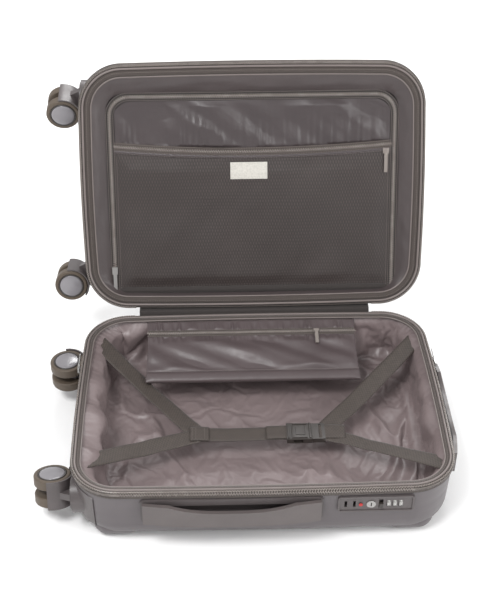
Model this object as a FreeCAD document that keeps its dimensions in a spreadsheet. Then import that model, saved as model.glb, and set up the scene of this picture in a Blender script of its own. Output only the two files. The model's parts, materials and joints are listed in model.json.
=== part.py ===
import FreeCAD, Part
import os, math
import Sketcher
from FreeCAD import Vector as V, Rotation, Placement

# Hard shell cabin case lying on its back half, lid half open.
# +X to the top handle, wheels at -X, -Y front (carry handle and lock), +Y hinge side, +Z up.
# Origin: middle of the back half, on the surface it rests on.

os.makedirs("parts", exist_ok=True)
doc = FreeCAD.newDocument("suitcase")

# ---------------------------------------------------------------- driving sizes
sheet = doc.addObject("Spreadsheet::Sheet", "Sizes")
DIM = {
    "case_len": 496, "case_wid": 356, "corner_rad": 60, "side_bulge": 2, "end_bulge": 2,
    "rim_z": 100, "shell_top": 92, "shell_base": 2, "shell_wall": 2.5, "shell_draft": 2, "base_fillet": 34,
    "lining_gap": 1.8, "lining_wall": 2, "lining_floor": 24.6, "lining_top": 95, "lining_fillet": 30,
    "tape_low": 87.5, "tape_top": 98, "tape_wall": 1.4, "tape_gap": 0.15,
    "chain_low": 92.5, "chain_top": 97.2, "chain_wall": 1.8, "piping_rad": 1.7, "piping_in": 3,
    "foot_rad": 20, "foot_x": 190, "foot_y": 148, "foot_len": 26, "foot_z": 19.6,
    "hinge_y": 184, "hinge_z": 100.5, "lid_open": 112,
    "swivel_y": 130, "swivel_z": 49, "swivel_face": 241, "boss_rad": 25, "cup_rad": 22.4, "boss_end": 225,
    "disc_rad": 21.4, "disc_thick": 8.6, "stem_rad": 5, "stem_len": 13, "trail": 18, "wheel_rad": 24.5, "wheel_wid": 14,
    "wheel_gap": 11.4, "wheel_out": 35.3, "axle_rad": 2.5, "axle_len": 39, "hood_wall": 2.0, "hood_gap": 0.9, "web_thick": 9.4,
    "tube_y": 60, "tube_z": 15, "outer_w": 22, "outer_t": 14, "tube_wall": 1.2, "tube_gap": 0.4, "outer_len": 425,
    "mid_len": 423, "inner_len": 425.9, "grip_len": 160, "grip_low": 8.6, "grip_top": 33,
    "side_x": -41.5, "side_len": 232, "side_low": 46, "side_high": 86, "top_y": -8, "top_len": 200,
    "lock_x": 141, "lock_len": 97, "lock_low": 57, "lock_high": 84, "dial_rad": 7.5, "dial_wid": 4.6,
    "web_w": 25, "web_thin": 1.4, "strap_z": 58, "strap_y": -38,
    "div_half": 213, "div_front": 139, "div_back": 160, "div_depth": 16, "div_band": 13,
    "pouch_w": 308, "pouch_l": 112, "pouch_t": 5,
}
for i, (k, v) in enumerate(DIM.items(), 1):
    sheet.set("A%d" % i, k)
    sheet.set("B%d" % i, str(v))
    sheet.setAlias("B%d" % i, k)
doc.recompute()
D = {k: float(sheet.get(k)) for k in DIM}

NODES = {}

def node(name, obj):
    obj.Label = name
    NODES[name] = obj
    return obj

def expr(obj, **kw):
    for k, e in kw.items():
        obj.setExpression(k.replace("__", "."), e)

def S(e):
    # turns the aliases in an expression into sheet references
    import re
    return re.sub(r"[a-z]+_[a-z_]*[a-z]|\btrail\b", lambda m: ("Sizes." + m.group(0)) if m.group(0) in DIM else m.group(0), e)

def box(name, lx, ly, lz, x, y, z):
    b = doc.addObject("Part::Box", name)
    for prop, e in (("Length", lx), ("Width", ly), ("Height", lz), (".Placement.Base.x", x), (".Placement.Base.y", y), (".Placement.Base.z", z)):
        b.setExpression(prop.lstrip("."), S(str(e)))
    return b

def cylx(name, r, length, x, y, z):
    # cylinder along +X starting at x
    c = doc.addObject("Part::Cylinder", name)
    c.Placement = Placement(V(0, 0, 0), Rotation(V(0, 1, 0), 90))
    for prop, e in (("Radius", r), ("Height", length), ("Placement.Base.x", x), ("Placement.Base.y", y), ("Placement.Base.z", z)):
        c.setExpression(prop, S(str(e)))
    return c

def cyly(name, r, length, x, y, z):
    # cylinder along +Y starting at y
    c = doc.addObject("Part::Cylinder", name)
    c.Placement = Placement(V(0, 0, 0), Rotation(V(1, 0, 0), -90))
    for prop, e in (("Radius", r), ("Height", length), ("Placement.Base.x", x), ("Placement.Base.y", y), ("Placement.Base.z", z)):
        c.setExpression(prop, S(str(e)))
    return c

def cut(name, a, b):
    c = doc.addObject("Part::Cut", name); c.Base = a; c.Tool = b
    return c

def common(name, a, b):
    c = doc.addObject("Part::Common", name); c.Base = a; c.Tool = b
    return c

def fuse(name, *objs):
    c = doc.addObject("Part::MultiFuse", name); c.Shapes = list(objs)
    return c

def comp(name, *objs):
    c = doc.addObject("Part::Compound", name); c.Links = list(objs)
    return c

def feature(name, shape, place=None):
    f = doc.addObject("Part::Feature", name)
    f.Shape = shape
    if place is not None:
        f.Placement = place
    return f

def fillet(name, base, pick, r):
    # Part::Fillet on the edges chosen by pick(edge)
    doc.recompute()
    f = doc.addObject("Part::Fillet", name); f.Base = base
    f.Edges = [(i, r, r) for i, e in enumerate(base.Shape.Edges, 1) if pick(e)]
    return f

def plane(body, role):
    return [f for f in body.Origin.OriginFeatures if f.Role == role][0]

# ---------------------------------------------------------------- the case outline
def outline_geo(W, L, r, b1, b2):
    # four slightly bowed sides and four corner arcs, all tangent
    R1 = ((W/2-r)**2+b1**2)/(2*b1); R2 = ((L/2-r)**2+b2**2)/(2*b2)
    c1 = (0.0, L/2-R1); c2 = (W/2-R2, 0.0)
    dx, dy = c2[0]-c1[0], c2[1]-c1[1]; d = math.hypot(dx, dy)
    a = ((R1-r)**2-(R2-r)**2+d*d)/(2*d); h = math.sqrt(max((R1-r)**2-a*a, 0))
    m = (c1[0]+a*dx/d, c1[1]+a*dy/d); p = (-dy/d, dx/d)
    q = max([(m[0]+h*p[0], m[1]+h*p[1]), (m[0]-h*p[0], m[1]-h*p[1])], key=lambda t: t[0]+t[1])
    a1 = math.atan2(q[1]-c1[1], q[0]-c1[0]); a2 = math.atan2(q[1]-c2[1], q[0]-c2[0])
    A = (c1[0]+R1*math.cos(a1), c1[1]+R1*math.sin(a1)); B = (c2[0]+R2*math.cos(a2), c2[1]+R2*math.sin(a2))
    am = (a1+a2)/2; M = (q[0]+r*math.cos(am), q[1]+r*math.sin(am))
    return A, B, M, (0.0, L/2), (W/2, 0.0)

def outline_arcs(off, z, W=None, L=None, r=None):
    W = (W or D["case_len"])+2*off; L = (L or D["case_wid"])+2*off; r = (r or D["corner_rad"])+off
    A, B, M, T, E = outline_geo(W, L, r, D["side_bulge"], D["end_bulge"])
    P = lambda p, sx, sy: V(sx*p[0], sy*p[1], z)
    arcs = [Part.Arc(P(A, -1, 1), P(T, 1, 1), P(A, 1, 1)), Part.Arc(P(A, 1, 1), P(M, 1, 1), P(B, 1, 1)),
            Part.Arc(P(B, 1, 1), P(E, 1, 1), P(B, 1, -1)), Part.Arc(P(B, 1, -1), P(M, 1, -1), P(A, 1, -1)),
            Part.Arc(P(A, 1, -1), P(T, 1, -1), P(A, -1, -1)), Part.Arc(P(A, -1, -1), P(M, -1, -1), P(B, -1, -1)),
            Part.Arc(P(B, -1, -1), P(E, -1, 1), P(B, -1, 1)), Part.Arc(P(B, -1, 1), P(M, -1, 1), P(A, -1, 1))]
    return arcs

def outline_wire(off, z):
    return Part.Wire([a.toShape() for a in outline_arcs(off, z)])

def ring_band(inner, outer, z0, z1):
    # flat-sided band that follows the case outline
    a = Part.Face(outline_wire(outer, z0)).extrude(V(0, 0, z1-z0))
    b = Part.Face(outline_wire(inner, z0-1)).extrude(V(0, 0, z1-z0+2))
    return a.cut(b)

def pan(name, off, top, low, fil, extra=0.0):
    # drafted, round-bottomed block with the outline of one half of the case
    body = doc.addObject("PartDesign::Body", name)
    sk = body.newObject("Sketcher::SketchObject", name+"_outline")
    sk.AttachmentSupport = (plane(body, "XY_Plane"), [""]); sk.MapMode = "FlatFace"
    sk.setExpression("AttachmentOffset.Base.z", S(top))
    for a in outline_arcs(off, 0):
        sk.addGeometry(a, False)
    doc.recompute()
    pad = body.newObject("PartDesign::Pad", name+"_pad"); pad.Profile = sk
    pad.Reversed = True
    pad.setExpression("Length", S("(%s) - (%s)" % (top, low)))
    pad.setExpression("TaperAngle", S("-shell_draft"))
    doc.recompute()
    zlow = pad.Shape.BoundBox.ZMin
    edges = ["Edge%d" % i for i, e in enumerate(pad.Shape.Edges, 1) if e.BoundBox.ZMax < zlow+0.01]
    fl = body.newObject("PartDesign::Fillet", name+"_round"); fl.Base = (pad, edges)
    fl.setExpression("Radius", S(fil))
    body.Tip = fl
    doc.recompute()
    return body

def lid_place():
    # a half built as a base is turned over onto the rim plane, then opened about the hinge
    over = Placement(V(0, 0, 2*D["hinge_z"]), Rotation(V(1, 0, 0), 180))
    axis = V(0, D["hinge_y"], D["hinge_z"])
    opened = Placement(V(0, 0, 0), Rotation(V(1, 0, 0), -D["lid_open"]), axis)
    return opened.multiply(over)

LID = lid_place()
def lid_pt(x, yc, k):
    # closed-lid position: yc front to back, k depth from the rim plane into the lid
    p = V(x, yc, D["hinge_z"]+k)
    axis = V(0, D["hinge_y"], D["hinge_z"])
    return Placement(V(0, 0, 0), Rotation(V(1, 0, 0), -D["lid_open"]), axis).multVec(p)

def shell(tag):
    outer = pan(tag+"_outside", 0, "shell_top", "shell_base", "base_fillet")
    inner = pan(tag+"_inside", -D["shell_wall"], "shell_top + 0.01", "shell_base + shell_wall", "base_fillet - shell_wall")
    return outer, inner

def feet(tag):
    out = []
    for sx in (-1, 1):
        for sy in (-1, 1):
            c = cylx("%s_foot_bar%d%d" % (tag, sx > 0, sy > 0), "foot_rad", "foot_len", "%d*foot_x - foot_len/2" % sx, "%d*foot_y" % sy, "foot_z")
            out.append(c)
            for e in (-1, 1):
                s = doc.addObject("Part::Sphere", "%s_foot_end%d%d%d" % (tag, sx > 0, sy > 0, e > 0))
                expr(s, Radius=S("foot_rad"), Placement__Base__x=S("%d*foot_x + %d*foot_len/2" % (sx, e)), Placement__Base__y=S("%d*foot_y" % sy), Placement__Base__z=S("foot_z"))
                out.append(s)
    return out

def ribs(tag):
    # raised lengthwise ribs moulded in the large face
    out = []
    for i in range(7):
        y = -108+36*i
        b = doc.addObject("Part::Cylinder", "%s_rib%d" % (tag, i))
        b.Placement = Placement(V(0, 0, 0), Rotation(V(0, 1, 0), 90))
        expr(b, Radius="9", Height=S("case_len - 150"), Placement__Base__x=S("-case_len/2 + 75"), Placement__Base__y=str(y), Placement__Base__z=S("shell_base + 6.6"))
        out.append(b)
    return out

def make_shell(tag, name, with_fittings):
    outer, inner = shell(tag)
    full = fuse(tag+"_moulding", outer, *(feet(tag)+ribs(tag)))
    level = box(tag+"_level", "600", "500", "60", "-300", "-250", "-60")
    trimmed = cut(tag+"_levelled", full, level)
    hollow = cut(tag+"_hollow", trimmed, inner)
    holes = [cylx("%s_wheel_hole%d" % (tag, i), "boss_rad + 0.1", "40", "-265", "%d*swivel_y" % s, "swivel_z") for i, s in enumerate((-1, 1))]
    if with_fittings:
        holes.append(box(tag+"_side_hole", "side_len - 63.8", "20", "24.2", "side_x - side_len/2 + 31.9", "-190", "53.9"))
        holes.append(box(tag+"_top_hole", "20", "top_len - 63.8", "24.2", "235", "top_y - top_len/2 + 31.9", "53.9"))
        holes.append(box(tag+"_lock_hole", "lock_len - 3.8", "20", "lock_high - lock_low - 3.8", "lock_x - lock_len/2 + 1.9", "-190", "lock_low + 1.9"))
        for i, s in enumerate((-1, 1)):
            holes.append(cyly("%s_side_pin_hole%d" % (tag, i), "5.3", "20", "side_x + %d*(side_len/2 - 16)" % s, "-190", "(side_low + side_high)/2"))
            holes.append(cylx("%s_top_pin_hole%d" % (tag, i), "5.3", "20", "235", "top_y + %d*(top_len/2 - 16)" % s, "(side_low + side_high)/2"))
    tools = fuse(tag+"_openings", *holes)
    sh = cut(tag+"_shell_solid", hollow, tools)
    if with_fittings:
        hole = box(tag+"_cup_hole", "60", "172.2", "29.2", "218.9", "-86.1", "5.9")
        doc.recompute()
        sh = feature(tag+"_shell_with_cup", sh.Shape.cut(hole.Shape))
    return sh, outer

back, back_outer = make_shell("back", "back_shell", True)
node("back_shell", back)
front, front_outer = make_shell("front", "front_shell", False)
front.Placement = LID
node("front_shell", front)

# ---------------------------------------------------------------- rim: zip tape, teeth, piping
def rim(tag, place):
    g = D["tape_gap"]; t = D["tape_wall"]
    tape = ring_band(g, g+t, D["tape_low"], D["tape_top"])
    skirt = ring_band(-D["piping_in"]-0.9, g, D["tape_top"]-4.2, D["tape_top"]-2.9)
    tape = tape.fuse(skirt).removeSplitter()
    if tag == "front":
        gus = ring_band(g+t+0.1, g+t+1.7, D["tape_low"]-6.5, D["tape_low"]+3)
        tape = tape.fuse(ring_band(g, g+t+1.7, D["tape_low"]-6.5, D["tape_low"])).fuse(gus).removeSplitter()
    chain = ring_band(g+t+0.05, g+t+D["chain_wall"], D["chain_low"], D["chain_top"])
    chain = chain.cut(Part.makeBox(352, 60, 40, V(-176, 160 if tag == "back" else -220, 80)))
    r = D["piping_rad"]
    path = outline_wire(-D["piping_in"], D["rim_z"]-r)
    start = path.Edges[0].valueAt(path.Edges[0].FirstParameter); tan = path.Edges[0].tangentAt(path.Edges[0].FirstParameter)
    prof = Part.Wire([Part.Circle(start, tan, r).toShape()])
    pipe = path.makePipeShell([prof], True, True)
    out = []
    for nm, s in (("zip_tape", tape), ("zip_teeth", chain), ("piping", pipe)):
        out.append(node("%s_%s" % (tag, nm), feature("%s_%s" % (tag, nm), s, place)))
    return out

rim("back", Placement())
rim("front", LID)

# ---------------------------------------------------------------- linings
def lining(tag, name, place=None):
    go = D["shell_wall"]+D["lining_gap"]
    outer = pan(tag+"_lining_out", -go, "lining_top", "lining_floor - lining_wall", "lining_fillet")
    inner = pan(tag+"_lining_in", -go-D["lining_wall"], "lining_top + 0.01", "lining_floor", "lining_fillet - lining_wall")
    tray = cut(tag+"_tray", outer, inner)
    bits = [cylx("%s_lining_hole%d" % (tag, i), "boss_rad + 3", "60", "-280", "%d*swivel_y" % s, "swivel_z") for i, s in enumerate((-1, 1))]
    if tag == "back":
        bits.append(box(tag+"_lining_cup", "60", "180", "24", "212", "-90", "14"))
        bits.append(box(tag+"_lining_side", "side_len - 16", "25.5", "32", "side_x - side_len/2 + 8", "-190", "50"))
        bits.append(box(tag+"_lining_top", "30", "top_len - 16", "32", "234.5", "top_y - top_len/2 + 8", "50"))
        bits.append(box(tag+"_lining_lock", "lock_len + 6", "22", "lock_high - lock_low + 6", "lock_x - lock_len/2 - 3", "-190", "lock_low - 3"))
    c = cut(tag+"_lining_solid", tray, fuse(tag+"_lining_reliefs", *bits))
    if place is not None:
        c.Placement = place
    return node(name, c)

lining("back", "back_lining")
lining("front", "front_lining", LID)

# ---------------------------------------------------------------- wheel housings
def housings(tag, name, outer_of, place=None):
    skin = pan(tag+"_cap_outside", 1.2, "shell_top", "shell_base - 1.2", "base_fillet + 1.2")
    inside = pan(tag+"_cap_inside", 0.06, "shell_top + 0.01", "shell_base - 0.06", "base_fillet + 0.06")
    film = cut(tag+"_cap_film", skin, inside)
    clear = fuse(tag+"_cap_feet", *feet(tag+"_cap"))
    bits = []
    for i, s in enumerate((-1, 1)):
        blk = box("%s_cap_block%d" % (tag, i), "40", "84", "71", "-258", "-174" if s < 0 else "90", "9")
        rounded = fillet("%s_cap_round%d" % (tag, i), blk, lambda e: abs(e.tangentAt(e.FirstParameter).x) > 0.9, 16.0)
        cap = common("%s_cap%d" % (tag, i), film, rounded)
        boss = cylx("%s_boss%d" % (tag, i), "boss_rad", "248.2 - boss_end", "-248.2", "%d*swivel_y" % s, "swivel_z")
        whole = fuse("%s_housing%d" % (tag, i), cap, boss)
        rec = cylx("%s_recess%d" % (tag, i), "cup_rad", "30", "-swivel_face - 30", "%d*swivel_y" % s, "swivel_z")
        hole = cylx("%s_bore%d" % (tag, i), "stem_rad + 0.05", "60", "-270", "%d*swivel_y" % s, "swivel_z")
        bored = cut("%s_housing_bored%d" % (tag, i), whole, fuse("%s_housing_bores%d" % (tag, i), rec, hole))
        bits.append(cut("%s_housing_solid%d" % (tag, i), bored, clear))
    c = comp(tag+"_housings", *bits)
    if place is not None:
        c.Placement = place
    return node(name, c)

housings("back", "back_wheel_housings", back_outer)
housings("front", "front_wheel_housings", front_outer, LID)

# ---------------------------------------------------------------- twin wheel casters
def caster_shapes():
    # local frame: swivel axis along X through the origin, outward to -X, trail along +Y, axle along Z
    f = -D["swivel_face"]
    xw = f-D["wheel_out"]; R = D["wheel_rad"]; tr = D["trail"]; gap = D["wheel_gap"]; w = D["wheel_wid"]; wt = D["web_thick"]
    disc = Part.makeCylinder(D["disc_rad"], D["disc_thick"], V(f-0.3, 0, 0), V(-1, 0, 0))
    stem = Part.makeCylinder(D["stem_rad"], D["stem_len"]+0.3, V(f-0.3, 0, 0), V(1, 0, 0))
    clip = Part.makeCylinder(D["stem_rad"]+1.6, 1.4, V(-D["boss_end"]+0.35, 0, 0), V(1, 0, 0))
    stem = stem.fuse(Part.makeCylinder(D["stem_rad"], 4, V(-D["boss_end"]-2, 0, 0), V(1, 0, 0))).fuse(clip)
    # web between the wheels
    pts = [V(f-4, -16, -wt/2), V(f-4, 16, -wt/2), V(xw+12, tr+12, -wt/2), V(xw-4, tr+10.5, -wt/2), V(xw-10.5, tr+2, -wt/2), V(xw-9, tr-7, -wt/2), V(xw+6, tr-22, -wt/2)]
    pts.append(pts[0])
    web = Part.Face(Part.makePolygon(pts)).extrude(V(0, 0, wt))
    # dust hood over the inner side of both wheels
    Ri = R+D["hood_gap"]; Ro = Ri+D["hood_wall"]; hw = wt/2+1+w+0.4
    arc = Part.makeCylinder(Ro, 2*hw, V(xw, tr, -hw), V(0, 0, 1)).cut(Part.makeCylinder(Ri, 2*hw+2, V(xw, tr, -hw-1), V(0, 0, 1)))
    wedge = Part.Face(Part.makePolygon([V(xw, tr, -40), V(xw-10, tr-60, -40), V(xw+80, tr-60, -40), V(xw+80, tr+40, -40), V(xw+52, tr+40, -40), V(xw, tr, -40)])).extrude(V(0, 0, 80))
    hood = arc.common(wedge)
    clear = Part.makeCylinder(R+0.6, 60, V(xw, tr, wt/2), V(0, 0, 1)).fuse(Part.makeCylinder(R+0.6, 60, V(xw, tr, -wt/2), V(0, 0, -1)))
    fork = disc.fuse(web).fuse(hood).cut(clear).fuse(stem)
    bore = Part.makeCylinder(D["axle_rad"]+0.005, 80, V(xw, tr, -40), V(0, 0, 1))
    fork = fork.cut(bore).removeSplitter()
    if len(fork.Solids) > 1:
        fork = max(fork.Solids, key=lambda s: s.Volume)
    axle = Part.makeCylinder(D["axle_rad"], D["axle_len"], V(xw, tr, -D["axle_len"]/2), V(0, 0, 1))
    wheels = []
    for s in (1, -1):
        z0 = wt/2+1.0
        whl = Part.makeCylinder(R, w, V(xw, tr, s*z0), V(0, 0, s))
        es = [e for e in whl.Edges if e.Closed and abs(e.Length-2*math.pi*R) < 1]
        whl = whl.makeFillet(2.2, es)
        whl = whl.cut(Part.makeCylinder(D["axle_rad"]+0.06, D["axle_len"]/2-z0+0.3, V(xw, tr, s*z0), V(0, 0, s)))
        # shallow dish round the hub cap
        dish = Part.makeCylinder(19.5, 1.2, V(xw, tr, s*(z0+w-1.2)), V(0, 0, s)).cut(Part.makeCylinder(16.5, 1.2, V(xw, tr, s*(z0+w-1.2)), V(0, 0, s)))
        wheels.append(whl.cut(dish))
    return fork, axle, wheels

fork, axle, wheels = caster_shapes()

def caster(tag, sy, turn, lid):
    # turn: angle of the trail about +X from +Y, in the case's own upright frame of each half
    local = Placement(V(0, sy*D["swivel_y"], D["swivel_z"]), Rotation(V(1, 0, 0), turn))
    pl = LID.multiply(local) if lid else local
    node("%s_caster_fork" % tag, feature("%s_caster_fork" % tag, fork, pl))
    node("%s_axle" % tag, feature("%s_axle" % tag, axle, pl))
    node("%s_wheel_a" % tag, feature("%s_wheel_a" % tag, wheels[0], pl))
    node("%s_wheel_b" % tag, feature("%s_wheel_b" % tag, wheels[1], pl))

caster("back_front", -1, -17, False)
caster("back_rear", 1, 180, False)
caster("front_upper", 1, -149.6, True)
caster("front_lower", -1, -169, True)

# ---------------------------------------------------------------- pull-out trolley handle
def tube(name, w, t, wall, length, x):
    # pair of rectangular tubes along X
    out = []
    for i, s in enumerate((-1, 1)):
        a = box("%s_out%d" % (name, i), length, w, t, x, "%d*tube_y - (%s)/2" % (s, w), "tube_z - (%s)/2" % t)
        b = box("%s_in%d" % (name, i), "(%s) + 2" % length, "(%s) - 2*(%s)" % (w, wall), "(%s) - 2*(%s)" % (t, wall), "(%s) - 1" % x, "%d*tube_y - (%s)/2 + (%s)" % (s, w, wall), "tube_z - (%s)/2 + (%s)" % (t, wall))
        out.append(cut("%s_tube%d" % (name, i), a, b))
    return comp(name, *out)

w1, t1 = "outer_w", "outer_t"
w2, t2 = "outer_w - 2*tube_wall - 2*tube_gap", "outer_t - 2*tube_wall - 2*tube_gap"
w3, t3 = "outer_w - 4*tube_wall - 4*tube_gap", "outer_t - 4*tube_wall - 4*tube_gap"
node("trolley_outer_tubes", tube("trolley_outer_tubes", w1, t1, "tube_wall", "outer_len", "-207"))
node("trolley_middle_tubes", tube("trolley_middle_tubes", w2, t2, "tube_wall", "mid_len", "-203"))
node("trolley_inner_tubes", tube("trolley_inner_tubes", w3, t3, "tube_wall", "inner_len", "-199"))
# cup in the end wall that the grip sinks into
cup_block = box("cup_block", "33", "172", "29", "219", "-86", "6")
cup_outer = common("cup_outer", pan("cup_form", 0, "shell_top", "shell_base", "base_fillet"), cup_block)
cup_space = box("cup_space", "40", "grip_len + 3", "grip_top - grip_low + 1.2", "224.6", "-(grip_len + 3)/2", "grip_low - 0.6")
cup_bores = [box("cup_bore%d" % i, "10", "outer_w - 1", "outer_t - 1", "217", "%d*tube_y - (outer_w - 1)/2" % s, "tube_z - (outer_t - 1)/2") for i, s in enumerate((-1, 1))]
node("trolley_cup", cut("trolley_cup_solid", cup_outer, fuse("cup_openings", cup_space, *cup_bores)))
# grip with its button pocket
grip_form = pan("grip_form", 0, "shell_top", "shell_base", "base_fillet")
grip_block = box("grip_block", "40", "grip_len", "grip_top - grip_low", "225.2", "-grip_len/2", "grip_low")
grip_common = common("grip_common", grip_form, grip_block)
grip_sock = [box("grip_sock%d" % i, "4", "(%s) + 0.1" % w3, "(%s) + 0.1" % t3, "223", "%d*tube_y - ((%s) + 0.1)/2" % (s, w3), "tube_z - ((%s) + 0.1)/2" % t3) for i, s in enumerate((-1, 1))]
btn_pocket = box("btn_pocket", "20", "34", "9", "233", "-17", "20")
node("trolley_grip", cut("trolley_grip_solid", grip_common, fuse("grip_pockets", btn_pocket, *grip_sock)))
btn_block = box("btn_block", "20", "33.4", "8.4", "236.4", "-16.7", "20.3")
btn_form = pan("btn_form", 0.8, "shell_top", "shell_base", "base_fillet")
node("trolley_button", common("trolley_button_solid", btn_form, btn_block))
# bracket that carries the closed ends of the tubes
foot = box("tube_foot_block", "8", "160", "16.2", "-215.1", "-80", "5.2")
node("trolley_tube_bracket", fillet("trolley_tube_bracket", foot, lambda e: abs(e.tangentAt(e.FirstParameter).x) > 0.9, 2.0))

# ---------------------------------------------------------------- carry handles
def handle(tag, length, place):
    # local frame: length along X, outward to -Y, wall face at y=0, z from the lower edge; centred at x=0
    Lh = length/2; H = D["side_high"]-D["side_low"]
    # bezel: two end plates joined by a thin frame round a sunk tray
    plate = Part.makeBox(2*Lh, 8.0, H, V(-Lh, -2.6, 0))
    plate = plate.makeFillet(7.0, [e for e in plate.Edges if abs(e.tangentAt(e.FirstParameter).y) > 0.9])
    wall = doc.getObject("back_cap_inside").Shape.copy()
    wall.transformShape(place.inverse().toMatrix())
    plate = plate.cut(wall)
    win = Part.makeBox(2*Lh-68, 20, 20, V(-Lh+34, -8, 10))
    tray = Part.makeBox(2*Lh-64, 11, 24, V(-Lh+32, 0.0, 8)).cut(Part.makeBox(2*Lh-68, 9, 20, V(-Lh+34, -0.1, 10)))
    bezel = plate.cut(win).fuse(tray).removeSplitter()
    # grip: bowed strap-shaped bar
    n = 24; t0, t1_ = 3.2, 6.5
    def face_pts(sag, depth):
        up, lo = [], []
        for i in range(n+1):
            u = -1+2*i/n; x = u*(Lh-3)
            bow = 1-abs(u)**2.6
            up.append(V(x, -(2.9+bow*sag), 0)); lo.append(V(x, -(2.9+depth+bow*sag*1.0), 0))
        return up, lo
    up, lo = face_pts(7.2, 5.0)
    b1 = Part.BSplineCurve(); b1.interpolate(up); b2 = Part.BSplineCurve(); b2.interpolate(lo)
    w = Part.Wire([b1.toShape(), Part.makeLine(up[-1], lo[-1]), b2.toShape(), Part.makeLine(lo[0], up[0])])
    bar = Part.Face(w).extrude(V(0, 0, H-6)); bar.translate(V(0, 0, 3))
    # narrower in the middle so that fingers reach behind the upper edge
    m = 18; edge = []
    for i in range(m+1):
        u = -1+2*i/m
        edge.append(V(u*(Lh-36), -40, H-3-9.5*(1-abs(u)**3)))
    c = Part.BSplineCurve(); c.interpolate(edge)
    w = Part.Wire([c.toShape(), Part.makeLine(edge[-1], V(Lh-36, -40, H+5)), Part.makeLine(V(Lh-36, -40, H+5), V(-Lh+36, -40, H+5)), Part.makeLine(V(-Lh+36, -40, H+5), edge[0])])
    bar = bar.cut(Part.Face(w).extrude(V(0, 60, 0)))
    bar = max(bar.Solids, key=lambda s: s.Volume)
    # guide pins that slide in the bezel
    for s in (-1, 1):
        bar = bar.fuse(Part.makeCylinder(3, 15.5, V(s*(Lh-16), -6.5, H/2), V(0, 1, 0)))
        bezel = bezel.fuse(Part.makeCylinder(5.2, 11, V(s*(Lh-16), -1, H/2), V(0, 1, 0)))
        bezel = bezel.cut(Part.makeCylinder(3.06, 40, V(s*(Lh-16), -10, H/2), V(0, 1, 0)))
    node("%s_handle_bezel" % tag, feature("%s_handle_bezel" % tag, bezel, place))
    node("%s_handle_grip" % tag, feature("%s_handle_grip" % tag, bar, place))

yf = D["case_wid"]/2-0.6; xf = D["case_len"]/2-0.6
handle("side", D["side_len"], Placement(V(D["side_x"], -yf-0.9, D["side_low"]), Rotation()))
handle("top", D["top_len"], Placement(V(xf+0.9, D["top_y"], D["side_low"]), Rotation(V(0, 0, 1), 90)))

# ---------------------------------------------------------------- combination lock
lx, ll, z0, z1 = D["lock_x"], D["lock_len"], D["lock_low"], D["lock_high"]
zc = (z0+z1)/2
face = Part.makeBox(ll, 8.0, z1-z0, V(lx-ll/2, -yf-2.6, z0))
face = face.makeFillet(4.5, [e for e in face.Edges if abs(e.tangentAt(e.FirstParameter).y) > 0.9])
face = face.cut(doc.getObject("back_cap_inside").Shape)
well = Part.makeBox(ll-5, 1.4, z1-z0-5, V(lx-ll/2+2.5, -yf-2.7, z0+2.5))
case_ = Part.makeBox(ll-5, 17.6, z1-z0-5, V(lx-ll/2+2.5, -yf-1.2, z0+2.5))
lock = face.cut(well).fuse(case_)
for px in (102.5, 113.5):
    lock = lock.cut(Part.makeBox(3.4, 11, 11, V(px-1.7, -yf-5, zc-5.5)))
dials_x = (157.2, 164.9, 172.6)
rd, wd = D["dial_rad"], D["dial_wid"]; yd = -yf+4.4
for px in dials_x:
    lock = lock.cut(Part.makeCylinder(rd+0.5, wd+0.8, V(px-wd/2-0.4, yd, zc), V(1, 0, 0)))
lock = lock.cut(Part.makeCylinder(6.1, 12, V(134.8, -yf-6, zc), V(0, 1, 0)))
lock = lock.cut(Part.makeBox(5.6, 9, 15.0, V(144.6, -yf-6, zc-7.5)))
node("lock_case", feature("lock_case", lock.removeSplitter()))
for i, px in enumerate(dials_x):
    d = Part.makeCylinder(rd, wd, V(px-wd/2, yd, zc), V(1, 0, 0))
    for k in range(10):
        a = 2*math.pi*k/10
        d = d.cut(Part.makeCylinder(0.7, wd+2, V(px-wd/2-1, yd+(rd+0.25)*math.cos(a), zc+(rd+0.25)*math.sin(a)), V(1, 0, 0)))
    node("lock_dial_%d" % (i+1), feature("lock_dial_%d" % (i+1), d))
key = Part.makeCylinder(6.0, 7.5, V(134.8, -yf-2.4, zc), V(0, 1, 0)).cut(Part.makeBox(1.4, 4, 6.4, V(134.1, -yf-3, zc-3.2)))
node("key_cylinder", feature("key_cylinder", key))
rel = Part.makeBox(5.0, 4.6, 8.0, V(144.9, -yf-3.4, zc-7.2))
rel = rel.makeFillet(0.8, [e for e in rel.Edges if e.CenterOfMass.y < -yf-3.3])
node("lock_release_slider", feature("lock_release_slider", rel))

# ---------------------------------------------------------------- packing straps in the base
def webbing(p, q, width, thin, trim=0.0):
    # flat band from p to q, its face turned upwards
    d = (q-p); L = d.Length; d.normalize()
    side = V(0, 0, 1).cross(d); side.normalize(); up = d.cross(side)
    a = p+d*trim
    w = Part.makePolygon([a+side*(width/2), a-side*(width/2), a-side*(width/2)+up*thin, a+side*(width/2)+up*thin, a+side*(width/2)])
    return Part.Face(w).extrude(d*(L-2*trim))

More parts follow.
